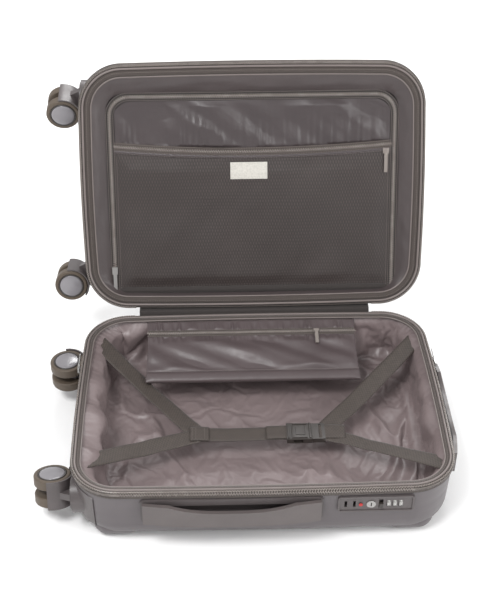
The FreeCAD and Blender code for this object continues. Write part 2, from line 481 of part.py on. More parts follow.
sz, sy, ww, wt = D["strap_z"], D["strap_y"], D["web_w"], D["web_thin"]
J = V(-85, sy, sz); BL = V(36, sy, sz); BR = V(90, sy, sz)
rl, fl_ = V(-217, 149, 72), V(-226, -102, 72)
rr, fr = V(226, 136, 80), V(225, -114, 72)
ls = webbing(J+V(-6, 7, 0.0), rl, ww, wt); ls2 = webbing(J+V(-6, -7, 0), fl_, ww, wt)
ls = ls.fuse(ls2).fuse(Part.makeBox(16, 30, wt, V(J.x-14, J.y-15, sz))).removeSplitter()
cs = Part.makeBox(BL.x+1-(J.x-6), ww, wt, V(J.x-6, sy-ww/2, sz+wt+0.1))
node("left_straps", feature("left_straps", Part.makeCompound([ls, cs])))
rs = webbing(BR+V(16, 6, 0), rr, ww, wt); rs2 = webbing(BR+V(16, -6, 0), fr, ww, wt)
rs = rs.fuse(rs2).fuse(Part.makeBox(22, 30, wt, V(BR.x+2, sy-15, sz))).fuse(Part.makeBox(14, 24, wt, V(BR.x-8, sy-12, sz))).removeSplitter()
node("right_straps", feature("right_straps", rs))
# side-release buckle
zb = sz-3.2
fem = Part.makeBox(34, 32, 9, V(BL.x, sy-16, zb))
fem = fem.makeFillet(1.8, [e for e in fem.Edges if abs(e.tangentAt(e.FirstParameter).x) > 0.9])
fem = fem.cut(Part.makeBox(30, 26.4, 5.2, V(BL.x+6, sy-13.2, zb+1.9)))
for s in (-1, 1):
    fem = fem.cut(Part.makeBox(13, 6, 5.2, V(BL.x+9, sy+(10 if s > 0 else -16), zb+1.9)))
fem = fem.cut(Part.makeBox(3.2, 26, 4.0, V(BL.x+0.8, sy-13, sz+wt-0.6))).cut(Part.makeBox(2, 26, 3, V(BL.x-1, sy-13, sz+wt-0.3)))
node("buckle_socket", feature("buckle_socket", fem))
mal = Part.makeBox(18, 30, 7.4, V(BL.x+34.4, sy-15, zb+0.8))
mal = mal.cut(Part.makeBox(4, 26, 9, V(BL.x+44, sy-13, zb)))
mal = mal.fuse(Part.makeBox(25, 5, 4.2, V(BL.x+9.6, sy-2.5, zb+2.4)))
for s in (-1, 1):
    mal = mal.fuse(Part.makeBox(24, 3.4, 4.2, V(BL.x+10.6, sy+(8.6 if s > 0 else -12.0), zb+2.4)))
    mal = mal.fuse(Part.makeBox(11, 4.4, 4.2, V(BL.x+10, sy+(8.6 if s > 0 else -13.0), zb+2.4)))
mal = mal.cut(Part.makeBox(7, 26, 2.4, V(BL.x+46.5, sy-13, sz-0.5)))
node("buckle_plug", feature("buckle_plug", mal))

# ---------------------------------------------------------------- hinge tape between the halves
def hinge_tape():
    # fabric strip from the back rim, round the gap, to the front rim
    p0 = V(0, D["case_wid"]/2+0.4+D["tape_wall"]+0.5, D["tape_low"]+1.5)
    a = V(0, D["hinge_y"]+0.4, D["hinge_z"]-4.5)
    q0 = lid_pt(0, D["case_wid"]/2+4.2, 10.5)
    b = lid_pt(0, D["hinge_y"]+0.4, 4.5)
    pts = [p0, a, b, q0]
    t = 0.9; half = 172.0
    pl = []
    for i, p in enumerate(pts):
        u = (pts[min(i+1, 3)]-pts[max(i-1, 0)]); u.normalize(); nrm = V(0, -u.z, u.y)
        pl.append((p+nrm*(-t/2), p+nrm*(t/2)))
    loop = [V(-half, s.y, s.z) for s, _ in pl]+[V(-half, s.y, s.z) for _, s in reversed(pl)]
    loop.append(loop[0])
    return Part.Face(Part.makePolygon(loop)).extrude(V(2*half, 0, 0))
node("hinge_tape", feature("hinge_tape", hinge_tape()))

# ---------------------------------------------------------------- pouch on the hinge side
pl_ = Placement(V(-6, D["case_wid"]/2-9.5, D["rim_z"]-7), Rotation(V(1, 0, 0), 12.0))
pouch = Part.makeBox(D["pouch_w"], D["pouch_l"], D["pouch_t"], V(-D["pouch_w"]/2, -D["pouch_l"], -D["pouch_t"]/2))
pouch = pouch.makeFillet(2.0, [e for e in pouch.Edges if abs(e.tangentAt(e.FirstParameter).x) > 0.9])
node("pouch", feature("pouch", pouch, pl_))
ps = Part.makeBox(8, 4, 2.4, V(92, -26, D["pouch_t"]/2+0.6)).fuse(Part.makeBox(5, 26, 1.4, V(93.5, -48, D["pouch_t"]/2+1.6)))
node("pouch_zip_slider", feature("pouch_zip_slider", ps, pl_))

# ---------------------------------------------------------------- main zip sliders, parked by the hinge
for nm, sx in (("left_zip_slider", -1), ("right_zip_slider", 1)):
    xo = D["case_len"]/2+D["tape_gap"]+D["tape_wall"]+D["chain_wall"]
    s = Part.makeBox(2.6, 12, 6.4, V(xo+0.35, 58, 91.4)).fuse(Part.makeBox(1.6, 26, 5, V(xo+1.2, 68, 92.1)))
    s = s.cut(Part.makeCylinder(1.4, 10, V(xo-2, 89.5, 94.6), V(1, 0, 0)))
    if sx < 0:
        s = s.mirror(V(0, 0, 0), V(1, 0, 0))
    node(nm, feature(nm, s))

# ---------------------------------------------------------------- divider in the lid
OPEN = Placement(V(0, 0, 0), Rotation(V(1, 0, 0), -D["lid_open"]), V(0, D["hinge_y"], D["hinge_z"]))
dh, df, db, dk, band = D["div_half"], D["div_front"], D["div_back"], D["div_depth"], D["div_band"]
zk = D["hinge_z"]+dk
def dpanel(inset, k0, k1, rad):
    b = Part.makeBox(2*(dh-inset), df+db-2*inset, k1-k0, V(-dh+inset, -df+inset, D["hinge_z"]+k0))
    return b.makeFillet(rad, [e for e in b.Edges if abs(e.tangentAt(e.FirstParameter).z) > 0.9 and e.CenterOfMass.y < 0])
frame_ = dpanel(0, dk-1.4, dk+1.4, 34).cut(dpanel(band, dk-3, dk+3, 24))
node("divider_frame", feature("divider_frame", frame_, OPEN))
zy = -55.0
up_ = dpanel(band+0.1, dk-0.6, dk+0.6, 23.9)
upper = up_.common(Part.makeBox(600, 300, 60, V(-300, zy-300, zk-30)))
backing = dpanel(band+0.1, dk+1.2, dk+2.2, 23.9)
bridge = dpanel(band+0.1, dk-0.6, dk+2.2, 23.9).common(Part.makeBox(600, 12, 60, V(-300, zy-12, zk-30)))
node("divider_panel", feature("divider_panel", upper.fuse(backing).fuse(bridge).removeSplitter(), OPEN))
mesh = up_.common(Part.makeBox(600, 300, 60, V(-300, zy+9.2, zk-30)))
node("mesh_pocket", feature("mesh_pocket", mesh, OPEN))
pz = Part.makeBox(2*(dh-band-0.4), 9.0, 1.6, V(-dh+band+0.4, zy+0.1, zk-0.8))
node("pocket_zip", feature("pocket_zip", pz, OPEN))
pks = Part.makeBox(9, 8, 1.8, V(190, zy+0.6, zk-3.1)).fuse(Part.makeBox(5, 30, 1.2, V(192, zy+6, zk-3.9)))
node("pocket_zip_slider", feature("pocket_zip_slider", pks, OPEN))
dsl = Part.makeBox(8, 11, 2.2, V(-dh+2, 118, zk-3.9)).fuse(Part.makeBox(5.2, 30, 1.3, V(-dh+3.4, 126, zk-4.5)))
node("divider_zip_slider", feature("divider_zip_slider", dsl, OPEN))

# ---------------------------------------------------------------- checks and export
doc.recompute()
bad = []
for o in doc.Objects:
    st = list(o.State)
    if "Invalid" in st or "Error" in st:
        bad.append((o.Name, st))
for n, o in NODES.items():
    s = o.Shape
    if s.isNull() or not s.isValid():
        bad.append((n, "shape"))
    if not s.Solids:
        bad.append((n, "no solid"))
if bad:
    raise SystemExit("failed objects: %s" % bad)
for n, o in NODES.items():
    o.Shape.exportStep("parts/%s.step" % n)
    bb = o.Shape.BoundBox
    print("%-24s solids %d vol %9.1f  x %7.1f %7.1f  y %7.1f %7.1f  z %7.1f %7.1f" % (n, len(o.Shape.Solids), o.Shape.Volume, bb.XMin, bb.XMax, bb.YMin, bb.YMax, bb.ZMin, bb.ZMax))
print("nodes", len(NODES))
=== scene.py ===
import bpy, bmesh, math, json, random
import numpy as np
from mathutils import Vector, Matrix


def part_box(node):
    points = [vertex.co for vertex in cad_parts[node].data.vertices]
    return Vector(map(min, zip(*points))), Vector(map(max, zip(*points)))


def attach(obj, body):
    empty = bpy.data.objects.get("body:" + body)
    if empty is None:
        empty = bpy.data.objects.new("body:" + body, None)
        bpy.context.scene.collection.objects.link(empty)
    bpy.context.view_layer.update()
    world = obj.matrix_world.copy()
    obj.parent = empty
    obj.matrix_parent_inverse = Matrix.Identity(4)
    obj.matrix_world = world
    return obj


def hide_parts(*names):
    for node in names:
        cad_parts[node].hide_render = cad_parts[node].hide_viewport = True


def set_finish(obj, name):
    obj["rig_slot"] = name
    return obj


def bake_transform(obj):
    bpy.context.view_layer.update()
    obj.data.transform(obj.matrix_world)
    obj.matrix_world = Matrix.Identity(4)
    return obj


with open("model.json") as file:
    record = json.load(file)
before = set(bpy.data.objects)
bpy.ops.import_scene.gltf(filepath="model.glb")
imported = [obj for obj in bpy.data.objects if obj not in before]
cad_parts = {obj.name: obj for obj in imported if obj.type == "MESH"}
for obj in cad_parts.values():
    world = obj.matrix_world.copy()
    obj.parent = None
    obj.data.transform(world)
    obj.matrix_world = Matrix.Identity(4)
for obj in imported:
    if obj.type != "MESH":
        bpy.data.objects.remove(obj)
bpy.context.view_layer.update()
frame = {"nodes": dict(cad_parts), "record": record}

N = frame["nodes"]
rng = np.random.default_rng(7)

# ------------------------------------------------------------------ frame sizes (metres)
W, L, RC = 0.496, 0.356, 0.060
HY, HZ = 0.184, 0.1005
OPEN = math.radians(112)
MM = 0.001

def lid(P):
    """closed-lid coordinates to where the lid stands at rest"""
    P = np.asarray(P, float).copy()
    y, z = P[..., 1]-HY, P[..., 2]-HZ
    c, s = math.cos(-OPEN), math.sin(-OPEN)
    P[..., 1] = y*c-z*s+HY
    P[..., 2] = y*s+z*c+HZ
    return P

def same(P):
    return np.asarray(P, float)

def over(P):
    """a half drawn like the base, turned over and opened"""
    P = np.asarray(P, float).copy()
    P[..., 2] = 2*HZ-P[..., 2]
    return lid(P)

# ------------------------------------------------------------------ small mesh kit
def mesh(name, V, F, mat=None, smooth=True, slot=None):
    me = bpy.data.meshes.new(name)
    me.from_pydata([tuple(map(float, v)) for v in V], [], [tuple(int(i) for i in f) for f in F])
    me.validate(); me.update()
    ob = bpy.data.objects.new(name, me)
    bpy.context.collection.objects.link(ob)
    if smooth:
        me.polygons.foreach_set("use_smooth", [True]*len(me.polygons))
    if mat is not None:
        me.materials.append(mat)
    if slot:
        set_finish(ob, slot)
    return ob

def grid_faces(n, m, close_n=False, close_m=False):
    F = []
    for i in range(n if close_n else n-1):
        for j in range(m if close_m else m-1):
            a = i*m+j; b = ((i+1) % n)*m+j; c = ((i+1) % n)*m+(j+1) % m; d = i*m+(j+1) % m
            F.append((a, b, c, d))
    return F

def fix_normals(ob):
    bm = bmesh.new(); bm.from_mesh(ob.data)
    bmesh.ops.recalc_face_normals(bm, faces=bm.faces)
    bm.to_mesh(ob.data); bm.free()
    return ob

def apply_mods(ob):
    dg = bpy.context.evaluated_depsgraph_get()
    me = bpy.data.meshes.new_from_object(ob.evaluated_get(dg))
    ob.modifiers.clear(); ob.data = me
    return ob

def mod(ob, kind, **kw):
    m = ob.modifiers.new(kind.title(), kind)
    for k, v in kw.items():
        setattr(m, k, v)
    return m

def join(name, obs):
    bpy.ops.object.select_all(action="DESELECT")
    for o in obs:
        o.select_set(True)
    bpy.context.view_layer.objects.active = obs[0]
    bpy.ops.object.join()
    obs[0].name = name; obs[0].data.name = name
    return obs[0]

# rim outline: bowed sides, round corners
def outline_dense(off=0.0, w=W, l=L, r=RC, b1=0.002, b2=0.002):
    w, l, r = w+2*off, l+2*off, r+off
    R1 = ((w/2-r)**2+b1**2)/(2*b1); R2 = ((l/2-r)**2+b2**2)/(2*b2)
    c1 = np.array([0, l/2-R1]); c2 = np.array([w/2-R2, 0])
    d = c2-c1; dist = np.hypot(*d); a = ((R1-r)**2-(R2-r)**2+dist*dist)/(2*dist); h = math.sqrt(max((R1-r)**2-a*a, 0))
    m = c1+a*d/dist; p = np.array([-d[1], d[0]])/dist
    q = max([m+h*p, m-h*p], key=lambda t: t[0]+t[1])
    a1 = math.atan2(q[1]-c1[1], q[0]-c1[0]); a2 = math.atan2(q[1]-c2[1], q[0]-c2[0])
    quad = []
    for t in np.linspace(0, 1, 90)[:-1]: quad.append(c2+R2*np.array([math.cos(t*a2), math.sin(t*a2)]))
    for t in np.linspace(0, 1, 60)[:-1]: quad.append(q+r*np.array([math.cos(a2+t*(a1-a2)), math.sin(a2+t*(a1-a2))]))
    for t in np.linspace(0, 1, 120): quad.append(c1+R1*np.array([math.cos(a1+t*(math.pi/2-a1)), math.sin(a1+t*(math.pi/2-a1))]))
    quad = np.array(quad)
    A = quad; B = quad[::-1][1:]*[-1, 1]; C = (quad*[-1, -1])[1:]; D_ = (quad[::-1]*[1, -1])[1:-1]
    return np.vstack([A, B, C, D_])

def resample(P, n=None, step=None, closed=True, s0=0.0, s1=None):
    Q = np.vstack([P, P[:1]]) if closed else P
    s = np.r_[0, np.cumsum(np.linalg.norm(np.diff(Q, axis=0), axis=1))]
    tot = s[-1]
    if n is None: n = int(round(tot/step))
    t = np.linspace(0, tot, n, endpoint=not closed)
    return np.stack([np.interp(t, s, Q[:, k]) for k in range(Q.shape[1])], 1), tot

def outline(n, off=0.0):
    """n points round the rim and their outward normals"""
    P, tot = resample(outline_dense(0.0), n)
    T = np.roll(P, -1, 0)-np.roll(P, 1, 0); T /= np.linalg.norm(T, axis=1)[:, None]
    Nn = np.stack([T[:, 1], -T[:, 0]], 1)
    return P+Nn*off, Nn, tot

def band(name, section, n, place, mat, wave=None, closed=True, slot=None):
    """sweeps a section of (outward mm, height mm) points round the rim"""
    P, Nn, tot = outline(n)
    sec = np.array(section)*MM
    m = len(sec)
    V = np.zeros((n, m, 3))
    for j in range(m):
        o = sec[j, 0]; z = sec[j, 1]
        dz = wave(np.arange(n)/n*tot, j) if wave else 0.0
        V[:, j, 0] = P[:, 0]+Nn[:, 0]*o; V[:, j, 1] = P[:, 1]+Nn[:, 1]*o; V[:, j, 2] = z+dz
    ob = mesh(name, place(V).reshape(-1, 3), grid_faces(n, m, True, closed), mat, slot=slot)
    return fix_normals(ob)

def tube(name, pts, r, mat, sides=8, closed=False, caps=True, slot=None, ry=None, up=(0, 0, 1)):
    pts = np.asarray(pts, float); n = len(pts)
    T = (np.roll(pts, -1, 0)-np.roll(pts, 1, 0)) if closed else np.gradient(pts, axis=0)
    T /= np.linalg.norm(T, axis=1)[:, None]
    u = np.array(up, float); A = np.cross(T, u); bad = np.linalg.norm(A, axis=1) < 1e-4
    A[bad] = np.cross(T[bad], [1, 0, 0.01]); A /= np.linalg.norm(A, axis=1)[:, None]; B = np.cross(A, T)
    th = np.linspace(0, 2*math.pi, sides, endpoint=False); ry = r if ry is None else ry
    V = pts[:, None, :]+r*np.cos(th)[None, :, None]*A[:, None, :]+ry*np.sin(th)[None, :, None]*B[:, None, :]
    F = grid_faces(n, sides, closed, True)
    if caps and not closed:
        F.append(tuple(range(sides))); F.append(tuple(range((n-1)*sides+sides-1, (n-1)*sides-1, -1)))
    return mesh(name, V.reshape(-1, 3), F, mat, slot=slot)

# ------------------------------------------------------------------ materials
def srgb(r, g, b):
    f = lambda c: (c/255/12.92) if c/255 <= 0.04045 else ((c/255+0.055)/1.055)**2.4
    return (f(r), f(g), f(b), 1.0)

class Mat:
    def __init__(self, name, color, rough=0.5, **kw):
        self.m = bpy.data.materials.new(name); self.m.use_nodes = True
        self.t = self.m.node_tree; self.b = self.t.nodes["Principled BSDF"]
        self.b.inputs["Base Color"].default_value = color
        self.b.inputs["Roughness"].default_value = rough
        for k, v in kw.items():
            self.b.inputs[k.replace("_", " ")].default_value = v
        self.color = color
        self._co = None; self.h = None
    def n(self, kind, **kw):
        nd = self.t.nodes.new(kind)
        for k, v in kw.items():
            if k in nd.inputs: nd.inputs[k].default_value = v
            else: setattr(nd, k, v)
        return nd
    def l(self, a, b):
        self.t.links.new(a, b)
    @property
    def co(self):
        if self._co is None:
            self._co = self.n("ShaderNodeTexCoord").outputs["Object"]
        return self._co
    def uv(self):
        return self.n("ShaderNodeUVMap", uv_map="UVMap").outputs["UV"]
    def mapping(self, scale=(1, 1, 1), rot=(0, 0, 0), src=None):
        mp = self.n("ShaderNodeMapping"); mp.inputs["Scale"].default_value = scale; mp.inputs["Rotation"].default_value = rot
        self.l(src or self.co, mp.inputs["Vector"]); return mp.outputs[0]
    def noise(self, scale, detail=4, rough=0.6, src=None, dist=0.0):
        nd = self.n("ShaderNodeTexNoise"); nd.inputs["Scale"].default_value = scale; nd.inputs["Detail"].default_value = detail
        nd.inputs["Roughness"].default_value = rough; nd.inputs["Distortion"].default_value = dist
        self.l(src or self.co, nd.inputs["Vector"]); return nd.outputs["Fac"]
    def wave(self, scale, src=None, direction="X", kind="BANDS", profile="SIN", dist=0.0):
        nd = self.n("ShaderNodeTexWave"); nd.wave_type = kind; nd.wave_profile = profile
        if kind == "BANDS": nd.bands_direction = direction
        nd.inputs["Scale"].default_value = scale; nd.inputs["Distortion"].default_value = dist
        self.l(src or self.co, nd.inputs["Vector"]); return nd.outputs["Fac"]
    def voronoi(self, scale, src=None, feature="F1"):
        nd = self.n("ShaderNodeTexVoronoi"); nd.feature = feature; nd.inputs["Scale"].default_value = scale
        self.l(src or self.co, nd.inputs["Vector"]); return nd.outputs["Distance"]
    def math(self, op, a, b=None, c=None):
        nd = self.n("ShaderNodeMath"); nd.operation = op
        for i, x in enumerate((a, b, c)):
            if x is None: continue
            if isinstance(x, (int, float)): nd.inputs[i].default_value = x
            else: self.l(x, nd.inputs[i])
        return nd.outputs[0]
    def ramp(self, fac, stops):
        nd = self.n("ShaderNodeValToRGB"); cr = nd.color_ramp
        while len(cr.elements) < len(stops): cr.elements.new(0.5)
        for e, (p, c) in zip(cr.elements, stops):
            e.position = p; e.color = c if len(c) == 4 else (*c, 1)
        self.l(fac, nd.inputs["Fac"]); return nd.outputs["Color"]
    def tint(self, fac, lo=0.85, hi=1.12, p0=0.3, p1=0.7):
        """base colour varied between lo and hi of itself"""
        c = self.color
        self.l(self.ramp(fac, [(p0, tuple(min(1, x*lo) for x in c[:3])), (p1, tuple(min(1, x*hi) for x in c[:3]))]), self.b.inputs["Base Color"])
        return self
    def rough(self, fac, lo, hi):
        mr = self.n("ShaderNodeMapRange"); mr.inputs["To Min"].default_value = lo; mr.inputs["To Max"].default_value = hi
        mr.inputs["From Min"].default_value = 0.3; mr.inputs["From Max"].default_value = 0.7
        self.l(fac, mr.inputs["Value"]); self.l(mr.outputs[0], self.b.inputs["Roughness"]); return self
    def bump(self, fac, strength=0.3, dist=0.0005):
        bp = self.n("ShaderNodeBump"); bp.inputs["Strength"].default_value = strength; bp.inputs["Distance"].default_value = dist
        self.l(fac, bp.inputs["Height"])
        if self.h is not None: self.l(self.h, bp.inputs["Normal"])
        self.h = bp.outputs["Normal"]; self.l(self.h, self.b.inputs["Normal"]); return self

def M_shell():
    m = Mat("shell_polycarbonate", srgb(88, 82, 84), 0.38, Coat_Weight=0.15, Coat_Roughness=0.35)
    big = m.noise(9, 3); m.tint(big, 0.94, 1.05)
    fine = m.noise(2200, 2, 0.5); grain = m.noise(70, 5, 0.6, src=m.mapping((0.12, 0.12, 1.6)))
    m.rough(grain, 0.36, 0.5); m.bump(fine, 0.25, 0.00012); m.bump(grain, 0.05, 0.0006)
    return m.m

def M_plastic(name, col, rough=0.4, grain=1800, bump=0.2, coat=0.0):
    m = Mat(name, col, rough, Coat_Weight=coat, Coat_Roughness=0.2)
    m.tint(m.noise(30, 3), 0.92, 1.08); m.rough(m.noise(55, 4), rough-0.06, rough+0.08); m.bump(m.noise(grain, 2), bump, 0.0001)
    return m.m

def M_satin(name="lining_satin", col=srgb(123, 110, 110), uvscale=None):
    m = Mat(name, col, 0.4, Sheen_Weight=0.12, Sheen_Roughness=0.4)
    m.b.inputs["Sheen Tint"].default_value = srgb(190, 180, 182)
    m.b.inputs["Specular IOR Level"].default_value = 0.6
    a = m.mapping((1, 1, 1), (0.2, 0.35, 0.6))
    w1 = m.wave(1500, src=a, direction="X"); w2 = m.wave(1500, src=a, direction="Y")
    weave = m.math("ADD", m.math("MULTIPLY", w1, 0.6), m.math("MULTIPLY", w2, 0.4))
    big = m.noise(16, 5, 0.6); m.tint(big, 0.9, 1.08)
    m.rough(m.noise(60, 4), 0.36, 0.46)
    crease = m.noise(75, 6, 0.62, dist=0.8)
    m.bump(crease, 0.3, 0.0018); m.bump(weave, 0.12, 0.0001)
    return m.m

def M_weave(name, col, pitch=0.0009, rough=0.75, bump=0.6, sheen=0.2, rot=(0, 0, 0)):
    m = Mat(name, col, rough, Sheen_Weight=sheen, Sheen_Roughness=0.5)
    a = m.mapping((1, 1, 1), rot); k = 1.0/pitch/ (2*math.pi)*2
    w1 = m.wave(k, src=a, direction="X"); w2 = m.wave(k, src=a, direction="Y"); w3 = m.wave(k, src=a, direction="Z")
    weave = m.math("MULTIPLY", m.math("ADD", w1, w2), m.math("ADD", w3, 0.4))
    m.tint(m.math("ADD", m.math("MULTIPLY", weave, 0.35), m.noise(400, 3)), 0.72, 1.2, 0.35, 0.95)
    m.bump(weave, bump, 0.0002); m.bump(m.noise(600, 3), 0.2, 0.0002)
    return m.m

def M_metal(name, col=(0.62, 0.61, 0.6, 1), rough=0.28):
    m = Mat(name, col, rough, Metallic=1.0)
    m.rough(m.noise(300, 3, src=m.mapping((8, 1, 1))), rough-0.06, rough+0.12); m.bump(m.noise(900, 2), 0.05, 0.0001)
    return m.m

shell_m = M_shell()
satin_m = M_satin()
dark_plastic = M_plastic("dark_plastic", srgb(84, 78, 78), 0.36)
housing_m = M_plastic("housing_plastic", srgb(98, 92, 92), 0.4)
grip_m = M_plastic("handle_grip", srgb(88, 81, 80), 0.36, coat=0.1)
black_m = M_plastic("black_plastic", srgb(52, 47, 44), 0.34)
tape_m = M_weave("zip_tape", srgb(66, 58, 54), 0.0008)
binding_m = M_weave("binding", srgb(43, 37, 35), 0.0009)
coil_m = M_plastic("zip_coil", srgb(132, 124, 119), 0.26, 900)
piping_m = M_satin("piping_satin", srgb(112, 103, 100))
mesh_m = M_weave("pocket_mesh", srgb(76, 66, 64), 0.0016, rough=0.6)
strap_m = M_weave("webbing", srgb(98, 92, 84), 0.0013)
metal_m = M_metal("satin_metal", (0.40, 0.39, 0.38, 1), 0.34)
alu_m = M_metal("anodised", (0.72, 0.72, 0.73, 1), 0.32)
wheel_m = M_plastic("wheel_tread", srgb(86, 75, 64), 0.55)

slot_mat = {"shell": shell_m, "zip_fabric": tape_m, "zip_coil": coil_m, "piping": piping_m, "lining": satin_m, "binding": binding_m,
            "mesh": mesh_m, "strap": strap_m, "black_plastic": black_m, "dark_plastic": dark_plastic, "handle_grip": grip_m,
            "metal": metal_m, "aluminium": alu_m, "wheel": wheel_m}
for sp in frame["record"]["subparts"]:
    ob = N[sp["node"]]
    ob.data.materials.clear(); ob.data.materials.append(slot_mat[sp["material_slot"]])

# ------------------------------------------------------------------ stage, light, camera
def stage():
    n = 60; s = 9.0
    V = [(-s, -s, 0), (s, -s, 0), (s, s, 0), (-s, s, 0)]
    fl = mesh("studio_floor", V, [(0, 1, 2, 3)])
    m = Mat("studio_floor", (0.93, 0.93, 0.93, 1), 0.9); m.tint(m.noise(3, 2), 0.995, 1.005); fl.data.materials.append(m.m)
    w = bpy.data.worlds.new("World"); bpy.context.scene.world = w; w.use_nodes = True
    bg = w.node_tree.nodes["Background"]; bg.inputs[0].default_value = (1, 1, 1, 1); bg.inputs[1].default_value = 0.72
    def area(name, loc, target, size, power, col=(1, 1, 1)):
        d = bpy.data.lights.new(name, "AREA"); d.shape = "RECTANGLE"; d.size = size[0]; d.size_y = size[1]; d.energy = power; d.color = col
        o = bpy.data.objects.new(name, d); bpy.context.collection.objects.link(o); o.location = loc
        o.rotation_euler = (Vector(target)-Vector(loc)).to_track_quat("-Z", "Y").to_euler()
    area("key", (-0.9, -0.9, 2.2), (0, 0.05, 0.1), (0.9, 0.7), 38)
    area("fill", (1.5, -1.2, 1.4), (0, 0, 0.1), (0.9, 0.9), 18)
    area("back", (0.3, 1.8, 1.8), (0, 0.1, 0.2), (1.6, 0.6), 34)
stage()

def camera():
    cam = bpy.data.cameras.new("photo_camera"); ob = bpy.data.objects.new("photo_camera", cam); bpy.context.collection.objects.link(ob)
    cx, cy, cz, pitch, yaw, roll, f = -0.0565, -1.3368, 1.0589, 0.6585, 0.026, -0.0016, 1140.8
    fw = Vector((math.sin(yaw)*math.cos(pitch), math.cos(yaw)*math.cos(pitch), -math.sin(pitch)))
    r = Vector((math.cos(yaw), -math.sin(yaw), 0)); up = r.cross(fw)
    m = Matrix((r, up, -fw)).transposed().to_4x4()
    m = m @ Matrix.Rotation(roll, 4, "Z")
    m.translation = Vector((cx, cy+0.178, cz+0.1))
    ob.matrix_world = m
    cam.sensor_width = 36; cam.sensor_fit = "AUTO"; cam.lens = f*36/600
    cam.clip_start = 0.05; cam.clip_end = 50
    bpy.context.scene.camera = ob
camera()
bpy.context.scene.view_settings.view_transform = "Standard"


# ------------------------------------------------------------------ shared textile pieces
from mathutils import noise as mnoise
def nz(x, y, z=0.0):
    return mnoise.noise(Vector((float(x), float(y), float(z))))

def fbm(P, scale, octaves=3, seed=0.0, ridge=False):
    out = np.zeros(len(P)); amp = 1.0; tot = 0.0; f = scale
    for o in range(octaves):
        v = np.array([nz(p[0]*f+seed*3.1+o*7.7, p[1]*f+seed*1.7, p[2]*f+seed) for p in P])
        if ridge: v = 1-2*np.abs(v)
        out += amp*v; tot += amp; amp *= 0.5; f *= 2.05
    return out/tot

def smooth(t):
    t = np.clip(t, 0, 1); return t*t*(3-2*t)

def chain(name, pts, up, mat, pitch=0.0021, wide=0.0044, high=0.0015, place=same, closed=False, slot="zip_coil"):
    """a coil zip chain along pts: two rows of interlocked coils; up is each point's outward direction"""
    pts = np.asarray(pts, float); up = np.asarray(up, float)
    full = np.hstack([pts, up]); Q, tot = resample(full, step=pitch, closed=closed)
    P, U = Q[:, :3], Q[:, 3:]; U /= np.linalg.norm(U, axis=1)[:, None]
    T = (np.roll(P, -1, 0)-np.roll(P, 1, 0)) if closed else np.gradient(P, axis=0)
    T /= np.linalg.norm(T, axis=1)[:, None]; S = np.cross(T, U)
    V, F = [], []
    a, h = pitch*0.40, high
    for i in range(len(P)):
        for sgn in (-1, 1):
            c = P[i]+T[i]*(pitch*0.25*sgn)
            skew = 0.35*pitch*sgn
            x0, x1 = (-0.12*wide, 0.5*wide) if sgn > 0 else (-0.5*wide, 0.12*wide)
            b = len(V)
            for (sx, kk, hh) in ((x0, 0.0, 0.0), (x0, 0.0, h*0.8), ((x0+x1)/2, 0.0, h), (x1, 0.0, h*0.6), (x1, 0.0, 0.0)):
                for e in (-1, 1):
                    V.append(c+S[i]*sx+T[i]*(e*a*0.5+skew*(sx/(0.5*wide)))+U[i]*hh)
            for q in range(4):
                F.append((b+2*q, b+2*q+1, b+2*q+3, b+2*q+2))
            F.append((b, b+2, b+4, b+6, b+8)); F.append((b+9, b+7, b+5, b+3, b+1)); F.append((b+8, b+9, b+1, b))
    V = place(np.array(V))
    return fix_normals(mesh(name, V, F, mat, smooth=False, slot=slot))

def stitches(name, pts, up, mat, pitch=0.0032, long_=0.0019, r=0.00028, place=same, closed=False, slot="zip_fabric"):
    pts = np.asarray(pts, float); up = np.asarray(up, float)
    Q, tot = resample(np.hstack([pts, up]), step=pitch, closed=closed)
    P, U = Q[:, :3], Q[:, 3:]; U /= np.linalg.norm(U, axis=1)[:, None]
    T = (np.roll(P, -1, 0)-np.roll(P, 1, 0)) if closed else np.gradient(P, axis=0)
    T /= np.linalg.norm(T, axis=1)[:, None]; S = np.cross(T, U)
    V, F = [], []
    for i in range(len(P)):
        b = len(V)
        for (t, k) in ((-0.5, 0.1), (-0.3, 1.0), (0.3, 1.0), (0.5, 0.1)):
            c = P[i]+T[i]*long_*t
            for ang in (-1.0, 0.0, 1.0):
                V.append(c+S[i]*r*ang*1.3+U[i]*(r*k*(1.5 if ang == 0 else 0.2)))
        for q in range(3):
            for j in range(2):
                F.append((b+3*q+j, b+3*q+j+1, b+3*q+j+4, b+3*q+j+3))
    return mesh(name, place(np.array(V)), F, mat, slot=slot)

def webbing(name, pts, side, width, mat, thick=0.0014, slot="strap", n_across=9, bulge=0.0):
    """a flat woven band along pts; side is the direction across it at each point"""
    pts = np.asarray(pts, float); side = np.asarray(side, float); n = len(pts)
    T = np.gradient(pts, axis=0); T /= np.linalg.norm(T, axis=1)[:, None]
    side = side-(side*T).sum(1)[:, None]*T; side /= np.linalg.norm(side, axis=1)[:, None]
    U = np.cross(side, T)
    c = np.linspace(-0.5, 0.5, n_across)
    sec = [(v, 0.5*(1-0.6*(abs(v)*2)**6)) for v in c]+[(v, -0.5*(1-0.6*(abs(v)*2)**6)) for v in c[::-1]]
    m = len(sec); V = np.zeros((n, m, 3)); uv = np.zeros((n, m, 2))
    s = np.r_[0, np.cumsum(np.linalg.norm(np.diff(pts, axis=0), axis=1))]
    for j, (a, b) in enumerate(sec):
        V[:, j] = pts+side*(a*width)+U*(b*thick+bulge*(1-4*a*a))
        uv[:, j, 0] = s; uv[:, j, 1] = a*width
    F = grid_faces(n, m, False, True)+[tuple(range(m-1, -1, -1)), tuple(range((n-1)*m, n*m))]
    ob = mesh(name, V.reshape(-1, 3), F, mat, slot=slot)
    lay = ob.data.uv_layers.new(name="UVMap"); fl = uv.reshape(-1, 2)
    for lp in ob.data.loops:
        lay.data[lp.index].uv = fl[lp.vertex_index]
    return fix_normals(ob)

